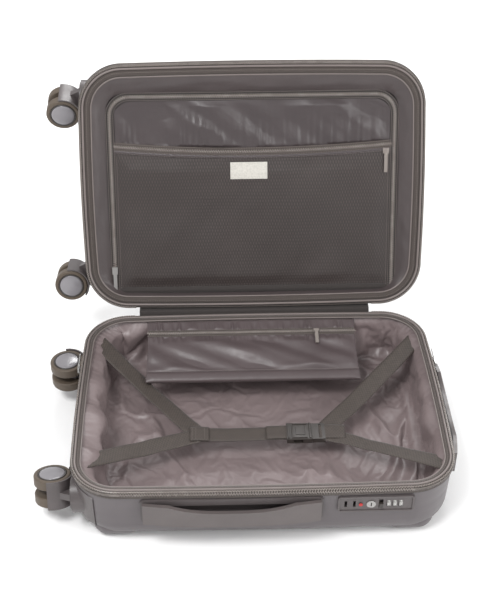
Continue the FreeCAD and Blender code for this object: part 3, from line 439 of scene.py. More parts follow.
def bezier(p0, p1, p2, n):
    t = np.linspace(0, 1, n)[:, None]; p0, p1, p2 = map(lambda q: np.array(q, float)*MM, (p0, p1, p2))
    return (1-t)**2*p0+2*t*(1-t)*p1+t*t*p2

def M_webbing():
    m = Mat("webbing_tape", srgb(65, 57, 52), 0.6, Sheen_Weight=0.1)
    uv = m.uv()
    ribs = m.wave(430, src=uv, direction="X"); dia = m.wave(95, src=m.mapping((1, 1, 1), (0, 0, 0.6), src=uv), direction="X")
    dib = m.wave(95, src=m.mapping((1, 1, 1), (0, 0, -0.6), src=uv), direction="X")
    mix = m.math("ADD", m.math("MULTIPLY", dia, 0.5), m.math("MULTIPLY", dib, 0.5))
    m.tint(m.math("ADD", m.math("MULTIPLY", mix, 0.5), m.math("MULTIPLY", m.noise(160, 4), 0.5)), 0.6, 1.35, 0.25, 0.75)
    m.bump(ribs, 0.35, 0.0002); m.bump(mix, 0.6, 0.0003)
    return m.m
web_m = M_webbing()

def M_mesh():
    m = Mat("moire_mesh", srgb(59, 51, 49), 0.42, Sheen_Weight=0.1)
    a = m.mapping((1, 1, 1), (0, math.radians(0), 0))
    v1 = m.wave(125, src=m.mapping((1, 1, 0.35), (0, 0.9, 0), src=m.co), direction="X")
    v2 = m.wave(125, src=m.mapping((1, 1, 0.35), (0, -0.9, 0), src=m.co), direction="X")
    holes = m.math("MULTIPLY", v1, v2)
    m.tint(m.math("ADD", m.math("MULTIPLY", holes, 0.55), m.math("MULTIPLY", m.noise(14, 4), 0.45)), 0.62, 1.25, 0.25, 0.65)
    m.rough(holes, 0.38, 0.62); m.bump(holes, 0.7, 0.0004)
    return m.m
moire_m = M_mesh()
label_m = M_weave("label_cloth", srgb(186, 183, 176), 0.0006, rough=0.7, bump=0.25, sheen=0.1)
thread_m = M_plastic("thread", srgb(108, 99, 95), 0.55, 600)
# dark colour for the lines along the grip-to-plate joint: painted shade of the gap between the parts
painted_joint_shade_m = M_plastic("painted_joint_shade", srgb(58, 50, 48), 0.6, 600)

# ------------------------------------------------------------------ rims: coils, stitching
P_, N_, TOT = outline(640)
def ring(off, z):
    P = P_+N_*off*MM
    return np.column_stack([P, np.full(len(P), z*MM)]), np.column_stack([N_, np.zeros(len(N_))])

def not_hinge(off, z, half=0.176):
    p, u = ring(off, z)
    # run from one end of the hinge, round the front, to the other
    keep = ~((np.abs(p[:, 0]) < half) & (p[:, 1] > 0.1))
    i0 = np.where(keep & ~np.roll(keep, 1))[0][0]
    idx = [(i0+k) % len(p) for k in range(len(p)) if keep[(i0+k) % len(p)]]
    return p[idx], u[idx]

for tag, place, body_ in (("back", same, "case_back"), ("front", over, "lid")):
    p, u = not_hinge(1.62, 94.85)
    if tag == "front":
        u = u.copy()
    # the coils face outward, with their line set across the tape
    c = chain(tag+"_rim_coil", p, u, coil_m, pitch=0.0034, wide=0.0046, high=0.0014, place=place)
    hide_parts(tag+"_zip_teeth"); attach(c, body_)
    for zz in (90.3,) if tag == "back" else (91.6,):
        p, u = ring(1.62, zz)
        st = stitches(tag+"_tape_stitch", p, u, thread_m, place=place, closed=True)
        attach(st, body_)
    p, u = ring(-1.9, 99.2 if False else 96.6)
    if tag == "front":
        p, u = ring(3.32, 85.6)
        c2 = chain("expansion_coil", p, u, coil_m, pitch=0.0034, wide=0.0048, high=0.0012, place=place, closed=True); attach(c2, body_)

for tag, place, body_, wd, zi in (("back", same, "case_back", 5.2, 96.9), ("front", over, "lid", 10.0, 96.6)):
    e0 = -4.4
    fc = band(tag+"_rim_facing", [(e0, 97.6), (e0-wd*0.5, zi+0.9), (e0-wd, zi), (e0-wd, zi-1.0), (e0-wd*0.5, zi-0.3), (e0, 96.4)], 520, place, tape_m, slot="zip_fabric")
    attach(fc, body_)
    p, u = ring(e0-wd*0.42, zi+1.15); u = np.tile([0, 0, 1.0], (len(p), 1))
    st = stitches(tag+"_facing_stitch", p, u, thread_m, place=place, closed=True, pitch=0.0034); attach(st, body_)
    pr, _ = ring(e0-wd-0.6, zi-0.2)
    pt = tube(tag+"_inner_piping", place(pr), 0.0011, piping_m, sides=10, closed=True, slot="piping"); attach(fix_normals(pt), body_)

for tag, place, body_ in (("back", same, "case_back"), ("front", over, "lid")):
    p, _ = not_hinge(0.75, 98.05); u = np.tile([0, 0, 1.0], (len(p), 1))
    ce = chain(tag+"_edge_coil", p, u, coil_m, pitch=0.0034, wide=0.0027, high=0.0012, place=place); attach(ce, body_)

def lid_band():
    n = 420; P, Nn, tot = outline(n)
    out = P-Nn*0.0149; inn = P-Nn*0.0345
    inn[:, 1] += np.where(inn[:, 1] > 0, 0.0165*smooth((inn[:, 1]-0.060)/0.055), 0.0042*smooth((-inn[:, 1]-0.060)/0.055))
    rows = 13; V = np.zeros((n, rows, 3)); s = np.arange(n)/n*tot
    for j in range(rows):
        t = j/(rows-1); q = out*(1-t)+inn*t
        w = np.array([nz(a*19, t*1.3, 2.0)*1.0+nz(a*60+t*2, 5.0, 1.0)*0.5 for a in s])
        V[:, j, :2] = q; V[:, j, 2] = (96.5*(1-t)+85.3*t+(1.6+1.5*w)*math.sin(math.pi*t))*MM
    ob = fix_normals(mesh("lid_satin_band", over(V).reshape(-1, 3), grid_faces(n, rows, True, False), satin_band_m, slot="lining"))
    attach(ob, "lid")
satin_band_m = M_satin("band_satin", srgb(68, 60, 60))
lid_band()

# ------------------------------------------------------------------ linings
def tray(name, place, mat, seed, drop=True, extra_left=19, extra_front=9, extra_right=9, pitch=0.0043):
    zt, zf, R = 95.6, 26.2, 22.0
    n = int(1.56/pitch)
    P, Nn, tot = outline(n)
    rows = []
    z = zt
    while z > zf+R: rows.append((0.0, z)); z -= pitch*1000
    for a in np.linspace(0, math.pi/2, 8): rows.append((R*(1-math.cos(a)), zf+R*(1-math.sin(a))))
    V = []
    for (inn, z) in rows:
        off = -(5.0+(zt-z)*math.tan(math.radians(2))+inn)
        p = P+Nn*off*MM
        t = float(smooth((93.5-z)/17))
        wl = smooth((-P[:, 0]-0.200)/0.040); wr = smooth((P[:, 0]-0.205)/0.038)
        wf = smooth((-P[:, 1]-0.135)/0.038)
        p[:, 0] += wl*extra_left*MM*t-wr*extra_right*MM*t; p[:, 1] += wf*extra_front*MM*t
        V.append(np.column_stack([p, np.full(n, z*MM)]))
    k = len(rows); ringp = V[-1][:, :2]
    # floor points
    xs = []
    row = 0; y = ringp[:, 1].min()
    from mathutils.geometry import delaunay_2d_cdt
    ctr = ringp.mean(0)
    poly = ringp
    def inside(q):
        x, y = q; c = False; j = len(poly)-1
        for i in range(len(poly)):
            if ((poly[i, 1] > y) != (poly[j, 1] > y)) and (x < (poly[j, 0]-poly[i, 0])*(y-poly[i, 1])/(poly[j, 1]-poly[i, 1])+poly[i, 0]): c = not c
            j = i
        return c
    while y < ringp[:, 1].max():
        x = ringp[:, 0].min()+(row % 2)*pitch/2
        while x < ringp[:, 0].max():
            if inside((x, y)) and np.min(np.hypot(ringp[:, 0]-x, ringp[:, 1]-y)) > pitch*0.6:
                xs.append((x+rng.uniform(-1, 1)*pitch*0.12, y+rng.uniform(-1, 1)*pitch*0.12))
            x += pitch
        y += pitch*0.87; row += 1
    coords = [Vector((float(a), float(b))) for a, b in ringp]+[Vector(q) for q in xs]
    vo, eo, fo, _, _, _ = delaunay_2d_cdt(coords, [], [list(range(n))], 1, 1e-7)
    assert len(vo) == len(coords)
    base = (k-1)*n
    V3 = [tuple(v) for blk in V[:-1] for v in blk]+[(float(v[0]), float(v[1]), zf*MM) for v in vo]
    F = []
    for i in range(k-1):
        for j in range(n):
            a = i*n+j; b = i*n+(j+1) % n; c = (i+1)*n+(j+1) % n; d = (i+1)*n+j
            F += [(a, b, c), (a, c, d)] if (i+j) % 2 else [(a, b, d), (b, c, d)]
    F += [tuple(base+q for q in f) for f in fo]
    return np.array(V3), F, n

def keep_in(V, top=0.0953, base=True):
    """holds the cloth inside the shell, and clear of what stands behind it"""
    V = V.copy()
    z = V[:, 2]; z[:] = np.maximum(z, 0.0249)
    P, Nn, _ = outline(720)
    lim = 0.0047+(top-z)*math.tan(math.radians(2))
    from mathutils.kdtree import KDTree
    kd = KDTree(len(P))
    for i, q in enumerate(P): kd.insert((q[0], q[1], 0), i)
    kd.balance()
    for i in range(len(V)):
        if abs(V[i, 0]) < 0.19 and abs(V[i, 1]) < 0.13: continue
        _, j, _ = kd.find((V[i, 0], V[i, 1], 0))
        d = (V[i, :2]-P[j]) @ Nn[j]
        if d > -lim[i]: V[i, :2] -= Nn[j]*(d+lim[i])
        h = 0.001*28
        f = V[i, 2]-0.0249
        if f < h:      # round bottom edge of the shell
            need = lim[i]+h-math.sqrt(max(h*h-(h-f)**2, 0))
            d = (V[i, :2]-P[j]) @ Nn[j]
            if d > -need: V[i, :2] -= Nn[j]*(d+need)
    x, y, z = V[:, 0], V[:, 1], V[:, 2]
    boss = (np.abs(np.abs(y)-0.130) < 0.0285) & (np.abs(z-0.049) < 0.0285)
    x[boss] = np.maximum(x[boss], -0.2225)
    if base:
        cup = (x > 0.2105) & (np.abs(y) < 0.0905); z[cup] = np.maximum(z[cup], 0.0372)
        m = (x > 0.228) & (y > -0.104) & (y < 0.088) & (z > 0.046) & (z < 0.086); x[m] = np.minimum(x[m], 0.2335)
        m = (y < -0.160) & (x > -0.154) & (x < 0.071) & (z > 0.046) & (z < 0.086); y[m] = np.maximum(y[m], -0.1635)
        m = (y < -0.160) & (x > 0.088) & (x < 0.194) & (z > 0.052) & (z < 0.088); y[m] = np.maximum(y[m], -0.1665)
    return V

def sim_tray(V, F, n_pin, frames, seed, slack):
    """lets slack satin settle in a tray; slack(x, y, z) from 0 to 1 is how much spare cloth there is"""
    tr = mesh("tray_form", V+np.array([0, 0, 0]), F); 
    co = V.copy()
    cl = mesh("tray_cloth", co, F)
    col = tr.modifiers.new("Collision", "COLLISION")
    tr.collision.thickness_outer = 0.001; tr.collision.thickness_inner = 0.02; tr.collision.cloth_friction = 12; tr.collision.damping = 0.6
    # start a little way in from the form
    bm = bmesh.new(); bm.from_mesh(cl.data); bmesh.ops.recalc_face_normals(bm, faces=bm.faces)
    bm.verts.ensure_lookup_table()
    ctr = Vector((0, 0, 0.09)); up = 1.0 if bm.verts[len(bm.verts)-1].normal.z > 0 else -1.0
    for i, v in enumerate(bm.verts):
        g = 0.0 if i < n_pin else 1.0
        w = float(nz(v.co.x*38+seed, v.co.y*38, v.co.z*38)); wb = float(nz(v.co.x*13+seed*2, v.co.y*17, v.co.z*15+3)); fr = float(smooth((-v.co.y-0.10)/0.04))*float(smooth((0.06-v.co.z)/0.03))
        gg = g*float(smooth((0.0955-v.co.z)/0.02))
        v.co += v.normal*up*(0.0022+0.0020*w+0.020*max(0.0, wb+0.08)+0.010*fr)*gg
    bm.to_mesh(cl.data); bm.free()
    pin = cl.vertex_groups.new(name="pin"); pin.add(list(range(n_pin)), 1.0, "REPLACE")
    sg = cl.vertex_groups.new(name="slack")
    for i in range(len(V)):
        sg.add([i], float(slack(*V[i])), "REPLACE")
    c = cl.modifiers.new("Cloth", "CLOTH"); st = c.settings
    st.quality = 5; st.mass = 0.12; st.tension_stiffness = 12; st.compression_stiffness = 12; st.shear_stiffness = 4; st.bending_stiffness = 0.5
    st.tension_damping = 6; st.compression_damping = 6; st.shear_damping = 6; st.bending_damping = 0.6; st.air_damping = 2
    st.vertex_group_mass = "pin"; st.vertex_group_shrink = "slack"; st.shrink_min = -0.03; st.shrink_max = -0.12
    st.effector_weights.gravity = 0.55
    c.collision_settings.distance_min = 0.001; c.collision_settings.use_self_collision = False; c.collision_settings.collision_quality = 2
    c.point_cache.frame_start = 1; c.point_cache.frame_end = frames
    sc = bpy.context.scene
    for f in range(1, frames+1): sc.frame_set(f)
    dg = bpy.context.evaluated_depsgraph_get()
    me = bpy.data.meshes.new_from_object(cl.evaluated_get(dg))
    out = np.array([v.co for v in me.vertices], float)
    bpy.data.objects.remove(cl); bpy.data.objects.remove(tr); bpy.data.meshes.remove(me)
    sc.frame_set(1)
    return out

import time
t0 = time.time()
V, F, npin = tray("base_lining", same, satin_m, 3)
def slack_base(x, y, z):
    a = 0.35+0.45*nz(x*9+4, y*11, 2.0)
    a += 0.65*float(smooth((-y-0.085)/0.05))      # spare cloth rolls up along the front wall
    a += 0.25*float(smooth((abs(x)-0.16)/0.05))
    return max(0.0, min(1.0, a))
Vs = sim_tray(V, F, npin, 34, 5.0, slack_base)
bad = ~np.isfinite(Vs).all(1) | (np.linalg.norm(Vs-V, axis=1) > 0.05)
Vs[bad] = V[bad]
Vs[npin*1:] = keep_in(Vs)[npin*1:]
print("lining sim", round(time.time()-t0, 1), "bad", int(bad.sum()), "verts", len(V), "max z over floor", float(Vs[-3000:, 2].max()))
bl = fix_normals(mesh("base_lining", Vs, F, satin_m, slot="lining"))
mod(bl, "SUBSURF", levels=1, render_levels=1); apply_mods(bl)
bl.data.polygons.foreach_set("use_smooth", [True]*len(bl.data.polygons))
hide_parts("back_lining"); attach(bl, "case_back")

V, F, npin = tray("lid_lining", over, satin_m, 8, extra_left=19, extra_front=0, extra_right=0, pitch=0.006)
w = fbm(V*[1, 1, 1.0], 16, 3, 2.0)+0.6*fbm(V*[1, 1, 2.2], 48, 2, 5.0, ridge=True)
inw = np.column_stack([-np.sign(V[:, 0])*smooth((np.abs(V[:, 0])-0.2)/0.03), -np.sign(V[:, 1])*smooth((np.abs(V[:, 1])-0.13)/0.03), smooth((0.05-V[:, 2])/0.02)])
amp = smooth((0.0945-V[:, 2])/0.012)*0.0022
V2 = keep_in(V+inw*(amp*(1.1+w))[:, None], base=False)
V2[:npin] = V[:npin]
ll = fix_normals(mesh("lid_lining", over(V2), F, satin_m, slot="lining"))
mod(ll, "SUBSURF", levels=1, render_levels=1); apply_mods(ll)
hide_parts("front_lining"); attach(ll, "lid")

# ------------------------------------------------------------------ divider
def lidp(x, yc, k):
    """millimetres: across, front to back of the closed case, depth into the lid"""
    return lid(np.column_stack([np.asarray(x, float), np.asarray(yc, float), np.asarray(k, float)+100.5])*MM)

def lidv(v):
    o = lid(np.zeros((1, 3))); return (lid(np.array(v, float).reshape(-1, 3))-o)

def lid_grid(name, X, Y, K, mat, slot=None):
    n, m = X.shape
    V = lidp(X.ravel(), Y.ravel(), K.ravel())
    ob = mesh(name, V, grid_faces(n, m), mat, slot=slot)
    return fix_normals(ob)

IN = lidv((0, 0, -1))[0]          # out of the lid, towards who looks in
def divider():
    # binding path: up one side, across the far end, down the other
    x, yf, yb, r = 206.5, -132.5, 158.5, 28
    arc = lambda cx, cy, a0, a1: [(cx+r*math.cos(a), cy+r*math.sin(a)) for a in np.linspace(a0, a1, 14)]
    path = [(-x, yb)]+[(-x, y) for y in np.linspace(yb-4, yf+r, 60)]+arc(-x+r, yf+r, math.pi, 1.5*math.pi)[1:]+[(q, yf) for q in np.linspace(-x+r, x-r, 70)][1:]+arc(x-r, yf+r, -math.pi/2, 0)[1:]+[(x, y) for y in np.linspace(yf+r, yb, 60)][1:]
    path = np.array(path); sag = np.array([nz(a[0]*0.02, a[1]*0.02) for a in path])*0.7
    T = np.gradient(path, axis=0); T /= np.linalg.norm(T, axis=1)[:, None]
    O = np.column_stack([-T[:, 1], T[:, 0]])            # outward, off the path
    if (O[0]*[-1, 0]).sum() < 0: O = -O
    def sweep(name, sec, mat, slot):
        V = []
        for (o, k) in sec:
            q = path+O*o; V.append(lidp(q[:, 0], q[:, 1], 16+sag*0.4-k))
        V = np.stack(V, 1); ob = mesh(name, V.reshape(-1, 3), grid_faces(len(path), len(sec), False, True), mat, slot=slot)
        return fix_normals(ob)
    b = sweep("divider_binding", [(-6.4, 0.2), (-6.2, 1.1), (-4.6, 1.25), (-3.9, 0.7), (-3.2, 0.35), (3.2, 0.35), (3.9, 0.7), (4.5, 1.3), (6.1, 1.2), (6.6, 0.2), (6.1, -0.9), (-6.1, -0.9)], binding_m, "binding")
    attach(b, "divider")
    q = path; ch = chain("divider_coil", lidp(q[:, 0], q[:, 1], 15.65+sag*0.4), np.tile(IN, (len(q), 1)), coil_m, pitch=0.0034, wide=0.0056, high=0.0016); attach(ch, "divider")
    obs = [b]
    for o in (-5.2, 5.3):
        q = path+O*o; st = stitches("divider_stitch_%d" % (o > 0), lidp(q[:, 0], q[:, 1], 14.78+sag*0.4), np.tile(IN, (len(q), 1)), thread_m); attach(st, "divider")
    # lower edge hem, at the hinge side
    xs = np.linspace(-205, 205, 60)
    hem = mesh("divider_hem", np.stack([lidp(xs, np.full(60, yy), np.full(60, kk)) for yy, kk in ((150, 15.0), (150, 14.6), (159.6, 14.6), (160, 15.8), (159.6, 17.2), (150, 17.2))], 1).reshape(-1, 3), grid_faces(60, 6, False, True), binding_m, slot="binding")
    fix_normals(hem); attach(hem, "divider")
    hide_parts("divider_frame")

    # pocket zip line: low in the middle
    def zy(x):
        return -52.0-9.5*(np.abs(x+5)/205)**2.0*np.where(x < 0, 1.15, 0.9)
    # upper satin panel, gathered into the zip
    n, m = 230, 44
    U, Vv = np.meshgrid(np.linspace(-199.5, 199.5, n), np.linspace(0, 1, m), indexing="ij")
    top = -126.0+np.where(np.abs(U) > 176, 0, 0)+ (np.clip((np.abs(U)-176)/23.5, 0, 1)**2)*14
    Y = top+(zy(U)-5.6-top)*Vv
    ph = np.array([nz(a*0.021, 3.3)*5+nz(a*0.07, 8.1)*1.6 for a in U[:, 0]])[:, None]
    pk = np.sin(U*0.42+ph*2.6)*0.6+np.sin(U*0.23+ph*3.7+Vv*2.0)*0.4
    drift = U+Vv*28
    big = np.array([[nz(drift[i, j]*0.011+7, Y[i, j]*0.020, 1.1)*1.9+nz((U[i, j]-Y[i, j]*1.3)*0.03, Y[i, j]*0.008, 4.4)*0.9 for j in range(m)] for i in range(n)])
    edge = np.minimum(1, np.minimum((199.5-np.abs(U))/14, Vv*7+0.15)); end = smooth((1-Vv)/0.06)
    K = 15.4-edge*end*(3.6*np.maximum(-0.1, 0.45+big)+pk*1.7*Vv**1.8)
    K = np.clip(K, 8.5, 16.6)
    up = lid_grid("divider_satin", U, Y, K, satin_lid_m, "lining"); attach(up, "divider"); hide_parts("divider_panel")
    # the back of the divider, seen with the divider down
    Ub, Yb = np.meshgrid(np.linspace(-204, 204, 60), np.linspace(-130, 156, 44), indexing="ij")
    rr = np.hypot(np.maximum(np.abs(Ub)-178, 0), np.maximum(-102-Yb, 0)); f = np.where(rr > 27, 27/np.maximum(rr, 1e-6), 1)
    Xb = np.sign(Ub)*(np.minimum(np.abs(Ub), 178)+np.maximum(np.abs(Ub)-178, 0)*f); Yb2 = np.maximum(Yb, -102)+np.minimum(Yb+102, 0)*f
    Kb = 17.5+0.9*np.array([[nz(Xb[i, j]*0.02, Yb2[i, j]*0.03, 9) for j in range(44)] for i in range(60)])*0.5
    bk = lid_grid("divider_back_cloth", Xb, Yb2, Kb, satin_lid_m, "lining"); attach(bk, "divider")
    # pocket zip
    xs = np.linspace(-201, 201, 220)
    def strip(name, d0, d1, k, mat, slot, pucker=0.0):
        rows = 7; V = []
        for j in range(rows):
            t = j/(rows-1); d = d0+(d1-d0)*t; bump_ = math.sin(math.pi*t)
            kk = k-0.5*bump_-pucker*bump_*(0.5+0.5*np.sin(xs*0.9+np.array([nz(a*0.05, 2.2)*9 for a in xs])))
            V.append(lidp(xs, zy(xs)+d, kk))
        ob = mesh(name, np.stack(V, 1).reshape(-1, 3), grid_faces(len(xs), rows), mat, slot=slot); fix_normals(ob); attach(ob, "divider"); return ob
    z1 = strip("pocket_zip_tape_upper", -6.0, -1.0, 14.6, tape_m, "zip_fabric")
    z2 = strip("pocket_zip_tape_lower", 1.0, 6.0, 14.6, tape_m, "zip_fabric")
    z3 = strip("pocket_zip_edging", 5.6, 10.2, 14.5, satin_lid_m, "lining", pucker=0.9)
    z0 = strip("pocket_zip_backing", -2.0, 2.0, 15.4, binding_m, "zip_fabric")
    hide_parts("pocket_zip")
    zc = chain("pocket_coil", lidp(xs, zy(xs), np.full(len(xs), 14.6)), np.tile(IN, (len(xs), 1)), coil_m, pitch=0.0034, wide=0.0050, high=0.0015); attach(zc, "divider")
    for d, kk in ((-5.0, 14.2), (4.9, 14.2), (9.4, 13.9)):
        st = stitches("pocket_stitch_%d" % int(d+10), lidp(xs, zy(xs)+d, np.full(len(xs), kk)), np.tile(IN, (len(xs), 1)), thread_m, pitch=0.0036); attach(st, "divider")
    # mesh pocket
    n, m = 120, 90
    U, Vv = np.meshgrid(np.linspace(-201, 201, n), np.linspace(0, 1, m), indexing="ij")
    y0 = zy(U)+9.6; Y = y0+(151-y0)*Vv
    big = np.array([[nz(U[i, j]*0.010+2, Y[i, j]*0.016, 6.1)*1.3+nz((U[i, j]+Y[i, j]*1.1)*0.020, (U[i, j]-Y[i, j])*0.006, 2.7)*1.2 for j in range(m)] for i in range(n)])
    edge = np.minimum(1, np.minimum((201-np.abs(U))/22, Vv*9)); low = smooth((1-Vv)/0.1)
    K = 15.5-edge*low*(1.9+1.7*big+1.5*Vv)
    K = np.clip(K, 9.5, 15.6)
    mp = lid_grid("mesh_pocket_cloth", U, Y, K, moire_m, "mesh"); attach(mp, "divider"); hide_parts("mesh_pocket")
    for sx in (-1, 1):      # stitched side edges of the mesh
        ys = np.linspace(-42, 150, 60)
        st = stitches("mesh_side_stitch_%d" % (sx > 0), lidp(np.full(60, sx*198.2), ys, np.full(60, 14.5)), np.tile(IN, (60, 1)), thread_m, pitch=0.0034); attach(st, "divider")
    # sewn label, left blank
    xs2 = np.linspace(-33, 21, 28); ys2 = np.linspace(-36.5, -12, 14)
    X2, Y2 = np.meshgrid(xs2, ys2, indexing="ij")
    def kmesh(x, y):
        i = np.clip(np.round((x+201)/402*(n-1)).astype(int), 0, n-1); v = np.clip((y-(zy(x)+9.6))/(151-(zy(x)+9.6)), 0, 1); j = np.round(v*(m-1)).astype(int)
        return K[i, j]
    Kl = kmesh(X2, Y2)-0.9
    Vt = lidp(X2.ravel(), Y2.ravel(), Kl.ravel()); Vb = lidp(X2.ravel(), Y2.ravel(), Kl.ravel()+0.7)
    lab = mesh("sewn_label", np.vstack([Vt, Vb]), grid_faces(28, 14)+[tuple(28*14+q for q in f[::-1]) for f in grid_faces(28, 14)], label_m, slot="label")
    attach(lab, "divider"); lab["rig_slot"] = "mesh"
    bx = np.array([(-31.6, -35.2), (19.6, -35.2), (19.6, -13.3), (-31.6, -13.3), (-31.6, -35.2)]); bq, _ = resample(bx, step=1.2, closed=False)
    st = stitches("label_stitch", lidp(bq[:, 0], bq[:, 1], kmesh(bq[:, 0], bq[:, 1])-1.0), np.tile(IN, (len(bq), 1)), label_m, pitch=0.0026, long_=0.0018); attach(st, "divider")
pouch_m = M_satin("pouch_satin", srgb(80, 70, 71))
satin_lid_m = M_satin("panel_satin", srgb(60, 52, 53))
divider()

# ------------------------------------------------------------------ pouch
def pouch():
    O = np.array([-6, 168.5, 93.0]); a = math.radians(12)
    def put(P):
        P = np.asarray(P, float); y = P[..., 1]*math.cos(a)-P[..., 2]*math.sin(a); z = P[..., 1]*math.sin(a)+P[..., 2]*math.cos(a)
        return np.stack([P[..., 0]+O[0], y+O[1], z+O[2]], -1)*MM
    UP = put([0, 0, 1])-put([0, 0, 0]); UP = UP/np.linalg.norm(UP)
    n, m = 210, 90
    X, Vv = np.meshgrid(np.linspace(-154, 154, n), np.linspace(0, 1, m), indexing="ij")
    Y = -1-111*Vv
    X = X*(1-0.012*np.sin(math.pi*Vv))
    gx = np.array([nz(q*0.03, 5.5)*4+nz(q*0.09, 1.5)*2 for q in np.linspace(-154, 154, n)])[:, None]
    pk = np.sin(X*0.55+gx*2.4)*0.6+np.sin(X*0.31+gx*3.1)*0.5
    dz = np.abs(Y+24)
    near = np.exp(-((dz-8)/6)**2)*(dz > 4.5)
    big = np.array([[nz(X[i, j]*0.012+1, Y[i, j]*0.026, 3.3)*2.1+nz((X[i, j]+Y[i, j]*1.8)*0.024, (X[i, j]*0.4-Y[i, j])*0.012, 8.8)*1.5 for j in range(m)] for i in range(n)])
    edge = np.minimum(1, (154.5-np.abs(X))/10)
    body_ = smooth((-Y-30)/14)*smooth((Y+96)/10)
    Zt = 1.4+edge*(1.5*near*pk+4.0*body_*np.maximum(-0.5, 0.35+big*0.8)+0.8*smooth((-Y)/6)*np.exp(-((Y+9)/7)**2)*pk)
    roll = np.clip(1-((Y+103.5)/8.6)**2, 0, 1)**0.5
    Zt = np.maximum(Zt, 0)+roll*edge**0.5*(3.6+0.5*gx[:, :1]*0.15)-0.9*np.exp(-((Y+94.5)/1.6)**2)*edge
    Zt = np.where(np.abs(Y+24) < 6.4, np.minimum(Zt, 1.4)*0+1.3+0.25*gx*0.2, Zt)
    Zb = -1.4-1.6*edge*body_*(0.6+0.3*big)-roll*2.2*edge
    Vt = put(np.stack([X, Y, Zt], -1)); Vb = put(np.stack([X, Y, Zb], -1))
    V = np.vstack([Vt.reshape(-1, 3), Vb.reshape(-1, 3)]); k = n*m
    F = grid_faces(n, m)+[tuple(k+q for q in f[::-1]) for f in grid_faces(n, m)]
    loop = [i*m for i in range(n)]+[(n-1)*m+j for j in range(1, m)]+[i*m+m-1 for i in range(n-2, -1, -1)]+[j for j in range(m-2, 0, -1)]
    for i in range(len(loop)):
        p, q = loop[i], loop[(i+1) % len(loop)]; F.append((p, q, k+q, k+p))
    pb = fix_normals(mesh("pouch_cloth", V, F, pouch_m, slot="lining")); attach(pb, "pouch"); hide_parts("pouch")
    xs = np.linspace(-152, 152, 160)
    def strip(name, y0, y1, z, mat, slot):
        V = put(np.stack([np.stack([xs, np.full_like(xs, y0+(y1-y0)*t), z+0.35*math.sin(math.pi*t)+0.25*np.sin(xs*0.07)], -1) for t in np.linspace(0, 1, 5)], 1))
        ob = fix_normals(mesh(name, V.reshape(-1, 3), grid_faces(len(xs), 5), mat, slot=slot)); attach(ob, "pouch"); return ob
    strip("pouch_zip_tape_upper", -18.0, -23.2, 1.6, tape_m, "zip_fabric"); strip("pouch_zip_tape_lower", -24.8, -30.0, 1.6, tape_m, "zip_fabric")
    ups = np.tile(UP, (len(xs), 1))
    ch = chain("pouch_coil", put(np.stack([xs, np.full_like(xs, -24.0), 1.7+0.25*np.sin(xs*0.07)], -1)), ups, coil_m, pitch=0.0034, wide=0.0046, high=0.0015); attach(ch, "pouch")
    for yy in (-18.8, -29.2, -93.6, -2.6):
        zz = 2.0 if yy > -40 else 1.6
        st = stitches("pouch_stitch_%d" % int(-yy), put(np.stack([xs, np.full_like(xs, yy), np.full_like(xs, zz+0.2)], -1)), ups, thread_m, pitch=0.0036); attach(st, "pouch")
pouch()

# ------------------------------------------------------------------ straps
def straps():
    def run(name, p0, p1, p2, n=46, w=25, wob=1.0, twist=0.0, roll_end=0.0):
        pts = bezier(p0, p1, p2, n); t = np.linspace(0, 1, n)
        pts[:, 2] += np.array([nz(q*5, p0[0]*0.01+p2[1]*0.02)*0.0022*wob*math.sin(math.pi*q) for q in t])
        d = pts[-1]-pts[0]; s = np.array([-d[1], d[0], 0.0]); s /= np.linalg.norm(s)
        side = np.tile(s, (n, 1)); side[:, 2] = np.tan(np.radians(twist*np.sin(math.pi*t)+roll_end*t**2))
        return webbing(name, pts, side, w*MM, web_m, thick=0.0015)
    a = run("strap_left_rear", (-84, -37, 60.0), (-150, 48, 52), (-238.5, 141, 90), twist=9)
    b = run("strap_left_front", (-84, -41, 61.2), (-160, -58, 55), (-241, -116, 90), twist=-8)
    c = run("strap_centre", (-92, -38, 59.6), (-30, -38, 58.0), (45, -38, 60.2), wob=0.5)
    patch = []
    for nm, (x0, x1) in (("strap_joint_patch", (-96, -70)),):
        p = run(nm, (x0, -38.5, 62.4), ((x0+x1)/2, -38.5, 62.9), (x1, -38.3, 61.6), n=12, w=26.2, wob=0)
        patch.append(p)
    fold = run("strap_adjuster_end", (8, -38, 61.6), (20, -38, 62.2), (40, -38, 62.0), n=12, w=24.6, wob=0)
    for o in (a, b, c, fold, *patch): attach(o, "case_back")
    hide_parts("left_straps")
    # bar tacks where the bands meet
    for i, x in enumerate((-93, -88, -76)):
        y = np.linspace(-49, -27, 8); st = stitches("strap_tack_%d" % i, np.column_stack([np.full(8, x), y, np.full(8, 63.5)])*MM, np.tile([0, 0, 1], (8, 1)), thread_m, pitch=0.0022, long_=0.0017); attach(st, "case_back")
    # right side: the bands, baked into world space
    e = run("strap_right_rear", (84, -36, 59.6), (150, 38, 57), (241, 133, 89), twist=10)
    f = run("strap_right_front", (84, -40, 60.8), (160, -66, 57), (240, -130, 89), twist=-10)
    tab = run("strap_right_tab", (80, -38, 61.8), (95, -38, 62.4), (116, -39, 61.8), n=14, w=25.4, wob=0)
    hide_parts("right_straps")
    for o, l, q in ((e, 0.245, (0.200, 0.100, 0.07)), (f, 0.175, (0.200, -0.09, 0.07)), (tab, 0.036, (0.200, -0.04, 0.06))):
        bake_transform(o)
straps()

